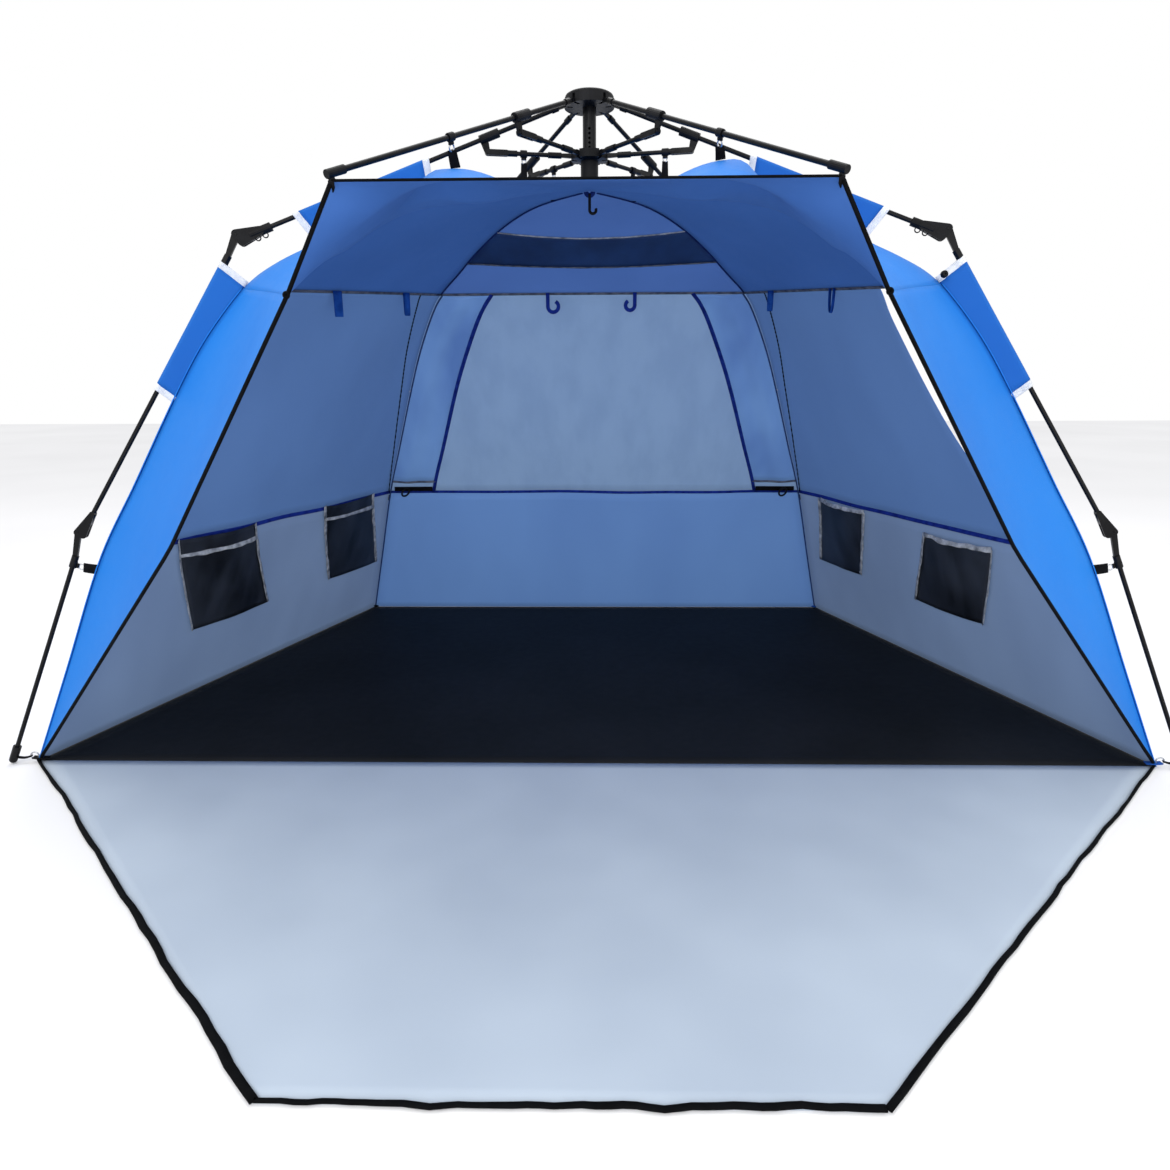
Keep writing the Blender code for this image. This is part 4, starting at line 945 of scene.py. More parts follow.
@dataclass
class Roof(SubAssembly):
    """The main roof with its humps under the front arms, and the rear roof with its vent."""

    hump_places: tuple[Triple, ...] = ((-0.275, -0.285, 0.062), (0.275, -0.285, 0.076))
    hump_inward: float = 0.125
    hump_outward: float = 0.160
    hump_along: float = 0.150
    rows: int = 40
    ridge_station: int = 16
    soften: int = 5
    main_cut: tuple[Pair, float] = ((1.55, 1.08), 1.087)
    rear_cut: tuple[Pair, float] = ((0.86, 0.54), 0.237)
    vent_cut: tuple[Pair, float] = ((0.66, 0.16), 0.071)
    vent_rises: Pair = (0.30, 0.56)
    vent_bow: float = 0.05
    vent_inset: float = 0.0024
    vent_tape_width: float = 0.0045
    vent_tape_thickness: float = 0.0016

    def stations(self) -> list[tuple[Vector, float]]:
        """Points round the main roof's edge, from the left rear ridge to the right one, with profiles."""
        shape, hand = self.shape, Hand.LEFT
        seam = shape.seam_level
        half = [(shape.side_wall(1 - share, seam, hand), share) for share in even(self.ridge_station)]
        half += [(shape.front_panel(share, seam, hand), 1 + share) for share in even(10)[1:]]
        edge, corner = shape.edge(seam, hand), shape.mirrored(shape.corner, hand)
        half += [(edge.lerp(corner, share), 2.0) for share in even(6)[1:]]
        half += [(Vector((corner.x * (1 - share), corner.y, corner.z)), 2.0) for share in even(14)[1:]]
        return half + [(Vector((-point.x, point.y, point.z)), mix) for point, mix in reversed(half[:-1])]

    def softened(self, points: list[Vector]) -> list[Vector]:
        """Round the corners of the roof's edge by averaging neighbours.

        Args:
            points: Points round the edge.

        Returns:
            As many points, with the corners rounded.
        """
        last = len(points) - 1
        soft = []
        for i in range(last + 1):
            ridge = min(abs(i - self.ridge_station), abs(last - self.ridge_station - i))
            reach = min(self.soften, i, last - i, max(1, ridge - 2))
            near = points[i - reach:i + reach + 1]
            soft.append(sum(near, Vector()) / len(near))
        return soft

    def lifted(self, point: Vector) -> Vector:
        """Pull the roof up to a soft peak under each front strap.

        Args:
            point: Point of the roof.

        Returns:
            The point, lifted.
        """
        lift = 0.0
        for x, y, rise in self.hump_places:
            toward_middle = (x - point.x) * math.copysign(1.0, x)
            reach = self.hump_inward if toward_middle > 0 else self.hump_outward
            across = max(0.0, 1.0 - abs(toward_middle) / reach)
            lift += rise * across * max(0.0, 1.0 - abs(point.y - y) / self.hump_along)
        return point + UP * lift

    def build(self) -> None:
        """Make both roofs and the vent."""
        shop, shape, palette = self.shop, self.shape, self.palette
        rises, stations = even(self.rows), self.stations()
        soft = self.softened([point for point, _ in stations])
        rows = [[self.lifted(shape.roof(point, round_point, rise, mix))
                 for (point, mix), round_point in zip(stations, soft)] for rise in rises]
        rows = shop.crease(rows, depth=0.003, scale=4.0, seed=3.1, upright=1.0)
        shop.cloth("main_roof_cloth", rows, [palette.outer, palette.roof_inner], "main_roof",
                   "lining_cloth", "stretched", self.main_cut, ["front_left_end_cap", "front_right_end_cap"])
        back = [shape.back_wall(share, shape.seam_level) for share in even(26)]
        rows = [[shape.roof(point, point, rise, 0.0) for point in back] for rise in rises]
        shop.cloth("rear_roof_cloth", rows, [palette.outer, palette.rear_roof_inner], "rear_roof",
                   "lining_cloth", "stretched", self.rear_cut, ["main_roof_cloth"])
        self.build_vent(back)

    def build_vent(self, back: list[Vector]) -> None:
        """Net band in the rear roof, with a taped seam along each long edge.

        Args:
            back: Points of the back wall's upper edge.
        """
        shop, palette = self.shop, self.palette
        low, high = self.vent_rises
        rows = []
        for share in even(8):
            rise = low + (high - low) * share
            line = []
            for i, point in enumerate(back):
                bow = self.vent_bow * math.sin(math.pi * i / (len(back) - 1))
                at = self.shape.roof(point, point, rise - bow, 0.0)
                line.append(at - away(at) * self.vent_inset)
            rows.append(line)
        shop.cloth("rear_vent_net", rows, [palette.vent], None, "pocket_mesh", "stretched", self.vent_cut,
                   ["rear_roof_cloth"], thickness=NET_THICKNESS)
        for label, row, finish in (("lower", rows[0], palette.piping), ("upper", rows[-1], palette.stitched)):
            path = [point - away(point) * (0.0010 + 0.0006 * noise.noise(point * 60)) for point in row]
            sizes = [1.0 + 0.6 * noise.noise(point * 45) for point in path]
            shop.tape(f"rear_vent_{label}_tape", path, [away(point) for point in path],
                      self.vent_tape_width, self.vent_tape_thickness, finish, sizes)


@dataclass
class Walls(SubAssembly):
    """Side walls, outer front panels, back wall and window."""

    columns: int = 30
    back_columns: int = 34
    panel_columns: int = 18
    rows_per_level: int = 6
    panel_cut: tuple[Pair, float] = ((0.43, 1.26), 0.277)

    def levels(self, first: float, last: float) -> list[float]:
        """Rows of a wall between two levels."""
        count = max(2, round((last - first) * self.rows_per_level))
        return [first + (last - first) * share for share in even(count)]

    def build_side(self, hand: Hand) -> None:
        """One side wall in two cloths, joined at the sill; the right one stands open in front.

        Args:
            hand: Left or right.
        """
        shape, palette = self.shape, self.palette
        upper_cut = ((1.10, 0.75), 0.616) if hand is Hand.LEFT else ((0.93, 0.75), 0.490)
        spans = (("lower", 0.0, shape.sill_level, palette.sill_inner, None, ((1.30, 0.50), 0.589)),
                 ("upper", shape.sill_level, shape.seam_level, palette.wall_inner,
                  f"side_wall_{hand.label}", upper_cut))
        for label, first, last, lining, node, cut in spans:
            rows = []
            for level in self.levels(first, last):
                opened = shape.slit(level, hand) if label == "upper" else 0.0
                rows.append([shape.rippled_wall(opened + (1 - opened) * share, level, hand)
                             for share in even(self.columns)])
            self.shop.cloth(f"side_wall_{label}_cloth_{hand.label}", rows, [palette.outer, lining], node,
                            "lining_cloth", "hung", cut, ["main_roof_cloth"])

    def build_front(self, hand: Hand) -> None:
        """One outer panel from the side ridge to the opening.

        Args:
            hand: Left or right.
        """
        rows = [[self.shape.front_panel(share, level, hand) for share in even(self.panel_columns)]
                for level in self.levels(0.0, self.shape.seam_level)]
        rows = self.shop.crease(rows, depth=0.010, scale=3.0, seed=11.9 + hand.value, upright=0.6)
        self.shop.cloth(f"front_panel_cloth_{hand.label}", rows,
                        [self.palette.outer, self.palette.wall_inner], f"front_panel_{hand.label}",
                        "blue_cloth", "hung", self.panel_cut, ["main_roof_cloth"])

    def build_back(self) -> None:
        """Back wall under the sill, and the net window over it."""
        shape, palette = self.shape, self.palette
        spans = (("back_wall_cloth", "back_wall", 0.0, shape.sill_level, palette.back_inner,
                  ((1.67, 0.50), 0.746), "lining_cloth"),
                 ("back_window_net", "back_window", shape.sill_level, shape.seam_level, palette.window,
                  ((1.41, 0.75), 0.803), "window_cloth"))
        for name, node, first, last, lining, cut, slot in spans:
            rows = [[shape.rippled_back(share, level) for share in even(self.back_columns)]
                    for level in self.levels(first, last)]
            self.shop.cloth(name, rows, [palette.outer, lining], node, slot, "hung", cut,
                            ["rear_roof_cloth"])

    def build(self) -> None:
        """Make every wall."""
        for hand in Hand:
            self.build_side(hand)
            self.build_front(hand)
        self.build_back()


@dataclass
class WindowCovers(SubAssembly):
    """The cloth covers gathered at both sides of the back window, with their long soft folds."""

    top_share: float = 0.168
    foot_share: float = 0.108
    depth: float = 0.015
    folds: float = 1.5
    columns: int = 32
    rows: int = 34
    foot_gap: float = 0.22
    top_gap: float = 0.03
    edge_gap: float = 0.03
    wall_gap: float = 0.0026
    hem_width: float = 0.010
    hem_thickness: float = 0.0016
    hem_lift: float = 0.0014
    cut: tuple[Pair, float] = ((0.19, 0.70), 0.12)

    def share_at(self, level: float) -> float:
        """Width of a cover at a level, as a share of the wall."""
        rise = (level - self.shape.sill_level) / (self.shape.seam_level - self.shape.sill_level)
        return self.foot_share + (self.top_share - self.foot_share) * rise ** 1.3

    def fold_depth(self, part: float, share: float) -> float:
        """How far a cover stands off the wall, for a share across and a share up."""
        swell = math.sin(math.pi * part) ** 0.6 if 0 < part < 1 else 0.0
        wave = 0.5 - 0.5 * math.cos(math.tau * self.folds * (part + 0.05 * math.sin(5 * share)))
        gathered = min(1.0, 0.35 + 5 * (1 - share), 0.5 + 5 * share)
        return self.wall_gap + self.depth * swell * (0.55 + 0.6 * wave) * gathered

    def build(self) -> None:
        """Make both covers with their foot hems."""
        shape, palette = self.shape, self.palette
        low, high = shape.sill_level + self.foot_gap, shape.seam_level - self.top_gap
        for hand in Hand:
            rows = []
            for share in even(self.rows):
                level = low + (high - low) * share
                width = self.share_at(level)
                rows.append([shape.rippled_back(
                    hand.along_back(width * (self.edge_gap + (1 - self.edge_gap) * part)), level,
                    self.fold_depth(part, share)) for part in even(self.columns)])
            self.shop.cloth(f"gathered_cover_{hand.label}", rows, [palette.cover, palette.cover],
                            f"window_cover_{hand.label}", "window_cloth", "gathered", self.cut,
                            ["back_window_net"])
            foot = [point - away(point) * self.hem_lift for point in rows[0]]
            self.shop.tape(f"cover_foot_hem_{hand.label}", foot, [-away(point) for point in foot],
                           self.hem_width, self.hem_thickness, palette.piping)


@dataclass
class Pockets(SubAssembly):
    """Net pockets low on the side walls, each with taped edges and a slack mouth.

    A place lists the ends of the pocket's top and foot as shares of the wall, the heights of its top
    and foot, and how far up the mouth's tape runs. A cut gives a net's flat width and height, and its area.
    """

    places: tuple[tuple[str, Hand, float, float, float, float, float, float, float], ...] = (
        ("front", Hand.LEFT, 0.176, 0.400, 0.280, 0.510, 0.468, 0.205, 0.86),
        ("rear", Hand.LEFT, 0.660, 0.895, 0.745, 0.965, 0.472, 0.205, 0.86),
        ("front", Hand.RIGHT, 0.235, 0.440, 0.320, 0.530, 0.430, 0.210, 1.0),
        ("rear", Hand.RIGHT, 0.665, 0.880, 0.735, 0.925, 0.452, 0.225, 1.0))
    cells: int = 18
    edge_slack: float = 0.006
    belly_slack: float = 0.011
    ripple: float = 0.003
    tape_width: float = 0.012
    tape_thickness: float = 0.0018
    tape_lift: float = 0.0022
    tape_ripple: float = 0.004
    cuts: dict[str, tuple[Pair, float]] = field(default_factory=lambda: {
        "front_left": ((0.28, 0.31), 0.074), "rear_left": ((0.27, 0.31), 0.075),
        "front_right": ((0.25, 0.26), 0.057), "rear_right": ((0.24, 0.26), 0.057)})

    def point(self, spot: tuple, across: float, rise: float, off: float) -> Vector:
        """Point of a pocket.

        Args:
            spot: The pocket's place.
            across: Share across.
            rise: Share up.
            off: Distance off the wall.

        Returns:
            The point.
        """
        _, hand, top_start, top_end, foot_start, foot_end, top, foot, _ = spot
        start = foot_start + (top_start - foot_start) * rise
        end = foot_end + (top_end - foot_end) * rise
        level = self.shape.level_at(foot + (top - foot) * rise)
        return self.shape.rippled_wall(start + (end - start) * across, level, hand, off)

    def build(self) -> None:
        """Make the four pockets."""
        shop, palette = self.shop, self.palette
        for spot in self.places:
            label, hand = spot[0], spot[1]
            rows = []
            for rise in even(self.cells):
                row = []
                for across in even(self.cells):
                    belly = math.sin(math.pi * across) ** 0.8 if 0 < across < 1 else 0.0
                    bulge = (self.edge_slack + self.belly_slack * belly
                             * (0.3 + 0.7 * math.sin(math.pi / 2 * rise)))
                    bulge += self.ripple * noise.noise(self.point(spot, across, rise, 0.0) * 14) * belly
                    row.append(self.point(spot, across, rise, bulge))
                rows.append(row)
            shop.cloth(f"{label}_pocket_net_{hand.label}", rows, [palette.pocket, palette.pocket],
                       f"{label}_pocket_{hand.label}", "pocket_mesh", "hung",
                       self.cuts[f"{label}_{hand.label}"], [f"side_wall_lower_cloth_{hand.label}"],
                       outward=inward, thickness=NET_THICKNESS)
            edges = {"mouth": rows[round(spot[-1] * self.cells)], "front": [row[0] for row in rows],
                     "rear": [row[-1] for row in rows]}
            for edge, path in edges.items():
                facing = [inward(point) for point in path]
                lifted = [point + face * self.tape_lift
                          + Vector((0.0, 1.0, 1.0)) * self.tape_ripple * noise.noise(point * 28)
                          for point, face in zip(path, facing)]
                sizes = [1.0 + 0.5 * noise.noise(point * 34) for point in path]
                shop.tape(f"{label}_pocket_{edge}_tape_{hand.label}", lifted, facing, self.tape_width,
                          self.tape_thickness, palette.stitched, sizes)


@dataclass
class SleeveFlaps(SubAssembly):
    """The flaps that hold the ridges out to the poles, each folded round its pole and sewn to the ridge."""

    lower_along: Pair = (0.075, 0.345)
    upper_along: Pair = (0.330, 0.600)
    lower_levels: Pair = (6.0, 4.0)
    upper_levels: Pair = (10.0, 8.0)
    leg_offset: float = -0.0050
    sleeve_radius: float = 0.0068
    hem_width: float = 0.014
    seam_width: float = 0.005
    tape_thickness: float = 0.0022
    seam_lift: float = 0.0016
    hem_ripple: float = 0.0014
    layer_gap: float = 0.0010
    turns: int = 16
    layer_steps: int = 8
    length_steps: int = 22
    cuts: dict[str, tuple[Pair, float]] = field(default_factory=lambda: {
        "side_upper": ((0.148, 0.273), 0.0336), "side_lower": ((0.128, 0.271), 0.0267),
        "rear_lower": ((0.110, 0.273), 0.0202)})

    def section(self, leg: Leg, kind: Flap, hand: Hand, part: float) -> list[Vector]:
        """Points across a flap, from the ridge, round the pole and back to the ridge.

        Args:
            leg: Leg it belongs to.
            kind: Upper or lower.
            hand: Left or right.
            part: Share along the flap.

        Returns:
            The points.
        """
        shape = self.shape
        azimuth = shape.azimuth(leg)
        if kind is Flap.LOWER:
            (start, end), (first, last) = self.lower_along, self.lower_levels
            origin, tilt, off = shape.knee, shape.upper_leg_tilt, self.leg_offset
        else:
            (start, end), (first, last) = self.upper_along, self.upper_levels
            origin, tilt, off = shape.hub_pivot, shape.arm_tilt, 0.0
        middle = shape.leg_point(azimuth, hand, origin, start + (end - start) * part, tilt, off)
        sewn = shape.ridge(leg, first + (last - first) * part, hand)
        side = shape.heading(azimuth, hand).cross(UP).normalized()
        reach = middle - sewn
        distance = reach.length
        reach.normalize()
        spread = math.pi - math.acos(min(self.sleeve_radius / distance, 1.0))
        turns = [spread * (1 - 2 * share) for share in even(self.turns)]
        arc = [middle + (reach * math.cos(turn) + side * math.sin(turn)) * self.sleeve_radius
               for turn in turns]
        steps = even(self.layer_steps)
        first_layer = [(sewn + side * self.layer_gap).lerp(arc[0], share) for share in steps[:-1]]
        last_layer = [arc[-1].lerp(sewn - side * self.layer_gap, share) for share in steps[1:]]
        return first_layer + arc + last_layer

    def build(self) -> None:
        """Make the flaps with their hems and ridge seams."""
        for leg, kind, pole in ((Leg.SIDE, Flap.UPPER, "arm"), (Leg.SIDE, Flap.LOWER, "upper_leg"),
                                (Leg.REAR, Flap.LOWER, "upper_leg")):
            for hand in Hand:
                label = f"{leg.value}_{kind.value}"
                rows = [self.section(leg, kind, hand, part) for part in even(self.length_steps)]
                self.shop.cloth(f"{label}_flap_cloth_{hand.label}", rows,
                                [self.palette.flap, self.palette.flap], f"{label}_flap_{hand.label}",
                                "blue_cloth", "stretched", self.cuts[label],
                                [f"{leg.value}_{hand.label}_{pole}"])
                self.build_hems(label, hand, rows)

    def build_hems(self, label: str, hand: Hand, rows: Grid) -> None:
        """White hems across both ends of a flap, and the seam along the ridge.

        Args:
            label: Leg and place of the flap.
            hand: Left or right.
            rows: The flap's grid.
        """
        for end, row, inner_row in (("start", rows[0], rows[1]), ("end", rows[-1], rows[-2])):
            path, facing = [], []
            for i, (point, inner) in enumerate(zip(row, inner_row)):
                off_flap = (point - inner).normalized()
                across = row[min(i + 1, len(row) - 1)] - row[max(i - 1, 0)]
                normal = across.cross(off_flap).normalized()
                ripple = self.hem_ripple * noise.noise(point * 60)
                path.append(point + off_flap * self.hem_width * 0.45 + normal * ripple)
                facing.append(normal)
            self.shop.tape(f"{label}_flap_{end}_hem_{hand.label}", path, facing, self.hem_width,
                           self.tape_thickness, self.palette.hem)
        path = [(row[0] + row[-1]) / 2 + away(row[0]) * self.seam_lift for row in rows]
        self.shop.tape(f"{label}_flap_ridge_seam_{hand.label}", path, [away(point) for point in path],
                       self.seam_width, self.tape_thickness, self.palette.seam)


@dataclass
class Ground(SubAssembly):
    """Floor sheet, and the porch with its zip tapes."""

    porch_reach: float = 1.0826
    porch_far: Pair = (-0.390, 0.360)
    lift: float = 0.0006
    floor_spread: float = 1.0018
    floor_slack: float = 0.0022
    porch_slack: float = 0.0040
    rows: int = 34
    floor_columns: int = 50
    porch_columns: int = 46
    zip_widths: Triple = (0.0100, 0.0080, 0.0085)
    zip_thickness: float = 0.003
    zip_lift: float = 0.0024
    floor_cut: tuple[Pair, float] = ((2.50, 1.23), 2.57)
    porch_cut: tuple[Pair, float] = ((2.50, 0.845), 1.374)

    def floor_point(self, point: Vector, share: float, part: float) -> Vector:
        """Point of the floor with its slack, for its shares along and across."""
        fade = min(1.0, 8 * part, 8 * (1 - part), 8 * share, 8 * (1 - share))
        value = noise.noise(Vector((point.x * 5, point.y * 3, 1.0)))
        lift = self.floor_slack * max(0.0, value) * fade
        return Vector((point.x * self.floor_spread, point.y * self.floor_spread, self.lift + lift))

    def porch_point(self, point: Vector, share: float, part: float) -> Vector:
        """Point of the porch with its slack, for its shares along and across."""
        fade = min(1.0, 10 * part, 10 * (1 - part), 10 * share)
        value = noise.noise(Vector((point.x * 3.4, point.y * 3.4, 4.0)))
        lift = self.porch_slack * max(0.0, value) * fade
        return Vector((point.x, point.y - self.lift, self.lift + lift))

    def grid(self, near: Sequence[Vector], far: Sequence[Vector], columns: int,
             place: Callable[[Vector, float, float], Vector]) -> Grid:
        """Grid of a sheet on the ground.

        Args:
            near: Left and right end of its first edge.
            far: Left and right end of its last edge.
            columns: Cells across.
            place: Puts a flat point, by its shares along and across.

        Returns:
            The grid.
        """
        rows = []
        for share in even(self.rows):
            left, right = (start.lerp(end, share) for start, end in zip(near, far))
            rows.append([place(left.lerp(right, part), share, part) for part in even(columns)])
        return rows

    def build(self) -> None:
        """Make the floor, and the porch with a zip tape along each free edge."""
        shop, shape, palette = self.shop, self.shape, self.palette
        front = [shape.ridge(Leg.SIDE, 0.0, hand) for hand in Hand]
        rear = [shape.ridge(Leg.REAR, 0.0, hand) for hand in Hand]
        shop.cloth("floor_cloth_sheet", self.grid(front, rear, self.floor_columns, self.floor_point),
                   [palette.floor, palette.floor], "floor_sheet", "floor_cloth", "laid", self.floor_cut,
                   ["ground"], CLOTH_BODY, upward)
        far = [Vector((x, -self.porch_reach, 0.0)) for x in self.porch_far]
        rows = self.grid(front, far, self.porch_columns, self.porch_point)
        shop.cloth("porch_cloth_sheet", rows, [palette.porch, palette.porch], "porch_sheet", "porch_cloth",
                   "laid", self.porch_cut, ["ground"], "porch", upward)
        edges = {"left": [row[0] for row in rows], "right": [row[-1] for row in rows], "front": rows[-1]}
        for (label, line), width in zip(edges.items(), self.zip_widths):
            path, sizes = [], []
            for i, point in enumerate(line):
                wave = 0.005 * noise.noise(point * 9) + 0.0035 * noise.noise(point * 25)
                across = Vector((wave, 0.0, 0.0)) if label != "front" else Vector((0.0, wave, 0.0))
                path.append(point + across + UP * self.zip_lift)
                sizes.append(0.75 + 0.5 * (i / (len(line) - 1)) + 0.25 * noise.noise(point * 12))
            shop.tape(f"porch_{label}_zip_tape", path, UP, width, self.zip_thickness, palette.trim, sizes,
                      "porch")


@dataclass
class Trim(SubAssembly):
    """Bindings, seams, zips, sill tapes, hook straps and loops sewn to the cloth, and the lantern's hook."""

    binding: Pair = (0.0072, 0.0034)
    front_binding: Pair = (0.0038, 0.0030)
    tape_thickness: float = 0.0022
    loop_thickness: float = 0.0018
    curl_width: float = 0.0105
    zip_section: Pair = (0.0042, 0.0020)
    lantern_loop: Pair = (0.010, 0.0016)
    lantern_wire: float = 0.0030
    lantern_bend: float = 0.0070

    def tape(self, name: str, path: list[Vector], width: float, material: Material, lift: float,
             outside: bool = False) -> None:
        """A tape sewn along a line of the cloth.

        Args:
            name: Piece name.
            path: Line that it follows.
            width: Tape width.
            material: Finish.
            lift: Distance off the line.
            outside: Whether it is sewn outside.
        """
        facing = [away(point) * (1.0 if outside else -1.0) for point in path]
        lifted = [point + face * lift for point, face in zip(path, facing)]
        self.shop.tape(name, lifted, facing, width, self.tape_thickness, material)

    def build_opening(self) -> None:
        """Black binding round the opening and along the roof's front edge."""
        shape, trim = self.shape, self.palette.trim
        for hand in Hand:
            path = [shape.edge(shape.seam_level * share, hand) for share in even(40)]
            path[0].z += 0.0012
            knot, corner = path[-1], shape.mirrored(shape.corner, hand)
            path += [knot.lerp(corner, share) for share in even(8)[1:]]
            self.shop.tape(f"opening_binding_{hand.label}", path,
                           Vector((hand.value * 0.25, -1.0, 0.1)).normalized(), *self.binding, trim)
            self.shop.put(hoop(f"seam_knot_{hand.label}", knot + Vector((0, -0.004, 0)), PORCHWARD,
                               radius=0.0036, wire=0.0028, material=trim))
        left, right = (shape.mirrored(shape.corner, hand) for hand in Hand)
        self.shop.tape("roof_front_binding", [left.lerp(right, share) for share in even(40)],
                       Vector((0, -1, 0.15)), *self.front_binding, trim)

    def build_seams(self) -> None:
        """Piping along the roof seams, the ridge seams outside and inside, and the zips."""
        shape, palette = self.shape, self.palette
        seam = shape.seam_level
        for hand in Hand:
            side = [shape.side_wall(share, seam, hand) for share in even(24)]
            self.tape(f"side_seam_piping_{hand.label}", side, 0.007, palette.piping, 0.0022)
            front = [shape.front_panel(share, seam, hand) for share in even(16)]
            self.tape(f"front_seam_piping_{hand.label}", front, 0.007, palette.piping, 0.0022)
            corner = shape.ridge(Leg.REAR, seam, hand)
            rear = [shape.roof(corner, corner, rise, 0.0) for rise in even(26)[:-1]]
            self.tape(f"rear_roof_seam_{hand.label}", rear, 0.0042, palette.navy, 0.0024)
            for leg in Leg:
                ridge = [shape.wall_ridge(leg, seam * share, hand) for share in even(44)]
                name = f"{leg.value}_ridge"
                self.tape(f"{name}_seam_{hand.label}", ridge, 0.008, palette.outer, 0.0016, True)
                self.tape(f"{name}_inner_seam_{hand.label}", ridge, 0.005, palette.dim_seam, 0.0075)
        back = [shape.back_wall(share, seam) for share in even(30)]
        self.tape("back_seam_piping", back, 0.008, palette.piping, 0.0024)
        for hand in Hand:
            self.build_zip(hand)

    def build_zip(self, hand: Hand) -> None:
        """Black zip beside the rear ridge of a side wall.

        Args:
            hand: Left or right.
        """
        shape = self.shape
        path, sizes = [], []
        for i, rise in enumerate(even(96)):
            level = shape.sill_level + (shape.seam_level - shape.sill_level) * rise
            path.append(shape.rippled_wall(0.992 - 0.140 * rise ** 1.1, level, hand, 0.0026))
            sizes.append(1.0 if i % 2 else 0.3)
        self.shop.tape(f"wall_zip_{hand.label}", path, [inward(point) for point in path],
                       *self.zip_section, self.palette.trim, sizes)

    def build_sills(self) -> None:
        """Royal-blue tapes along the sills and round the window, and the black hook straps."""
        shape, palette, cover = self.shape, self.palette, WindowCovers(self.shop)
        for hand in Hand:
            sill = [shape.rippled_wall(share, shape.sill_level, hand) for share in even(30)]
            self.tape(f"side_sill_tape_{hand.label}", sill, 0.011, palette.royal, 0.0030)
            levels = [shape.sill_level + (shape.seam_level - shape.sill_level) * share for share in even(26)]
            path = [shape.rippled_back(hand.along_back(cover.share_at(level)), level) for level in levels]
            self.tape(f"window_edge_tape_{hand.label}", path, 0.014, palette.royal, 0.0040)
            start, end = (0.006, 0.10) if hand is Hand.LEFT else (0.994, 0.90)
            strap = [shape.rippled_back(start + (end - start) * share, shape.sill_level) + UP * 0.010
                     for share in even(10)]
            self.tape(f"cover_hook_strap_{hand.label}", strap, 0.015, palette.strap, 0.020)
            middle = strap[4] + shape.wall_normal(shape.back_wall, 0.5, 2.0, PORCHWARD) * 0.024
            self.shop.put(hoop(f"cover_hook_{hand.label}", middle, Vector((0, -1, 0.3)), radius=0.0100,
                               wire=0.0032, material=palette.plastic, stretch=1.5))
        sill = [shape.rippled_back(share, shape.sill_level) for share in even(34)]
        self.tape("back_sill_tape", sill, 0.009, palette.royal, 0.0030)

    def build_loops(self) -> None:
        """Cloth loops and curls that hang under the roof seam."""
        shape, palette = self.shape, self.palette
        seam = shape.seam_level
        spots = (("left_front", shape.side_wall(0.36, seam, Hand.LEFT), 0.056, 0.019, 0.2),
                 ("left_rear", shape.side_wall(0.74, seam, Hand.LEFT), 0.056, 0.015, 0.6),
                 ("right_front", shape.side_wall(0.43, seam, Hand.RIGHT), 0.054, 0.015, 0.9),
                 ("right_rear", shape.side_wall(0.79, seam, Hand.RIGHT), 0.050, 0.014, -0.4))
        for label, top, drop, width, turn in spots:
            toward = Vector((math.sin(turn), -math.cos(turn), 0.0))
            off_wall = Vector((-top.x, -top.y, 0.0)).normalized()
            path, facing = [], []
            for swing in (math.pi * share for share in even(20)):
                path.append(top + off_wall * 0.012 + toward * 0.005 * math.cos(swing)
                            - UP * drop * math.sin(swing) ** 0.7)
                facing.append((toward * math.cos(swing) - UP * math.sin(swing)).normalized())
            self.shop.tape(f"tie_loop_{label}", path, facing, width, self.loop_thickness, palette.tab)
        curls = (("back_left", shape.back_wall(0.355, seam), 0.036, 0.030),
                 ("back_right", shape.back_wall(0.640, seam), 0.034, -0.026))
        for label, top, drop, spread in curls:
            path = []
            for share in even(20):
                swing = 1.35 * math.pi * max(0.0, share - 0.45) / 0.55
                down = drop * min(share / 0.45, 1.0) + abs(spread) * 0.5 * math.sin(swing)
                path.append(top + Vector((spread * 0.5 * (1 - math.cos(swing)), -0.008, -down)))
            self.shop.tape(f"tie_loop_{label}", path, PORCHWARD, self.curl_width, self.loop_thickness,
                           palette.royal)

    def build_lantern(self) -> None:
        """The lantern's loop under the hub, and the hook in it."""
        crown = self.shape.crown
        low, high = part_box("lantern_hook")
        path = []
        for turn in (math.pi * share for share in even(16)):
            drop = (crown - high.z + 0.006) * math.sin(turn)
            path.append(Vector((0.0075 * math.cos(turn), (low.y + high.y) / 2, crown - 0.003 - drop)))
        self.shop.tape("lantern_loop", path, PORCHWARD, *self.lantern_loop, self.palette.navy, body="hub")
        wire, bend, top = self.lantern_wire, self.lantern_bend, high.z - 0.006
        foot = low.z + wire + bend
        shank = [Vector((0.0, 0.0, top - (top - foot) * share)) for share in even(10)]
        curl = [Vector((bend * (1 - math.cos(turn)), 0.0, foot - bend * math.sin(turn)))
                for turn in (math.pi * 1.15 * share for share in even(14)[1:])]
        hook = swept("lantern_hook_wire", shank + curl, PORCHWARD, round_section(wire, 10),
                     self.palette.plastic)
        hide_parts("lantern_hook")
        self.shop.put(hook, "lantern_hook")

    def build(self) -> None:
        """Sew on all of it."""
        self.build_opening()
        self.build_seams()
        self.build_sills()
        self.build_loops()
        self.build_lantern()


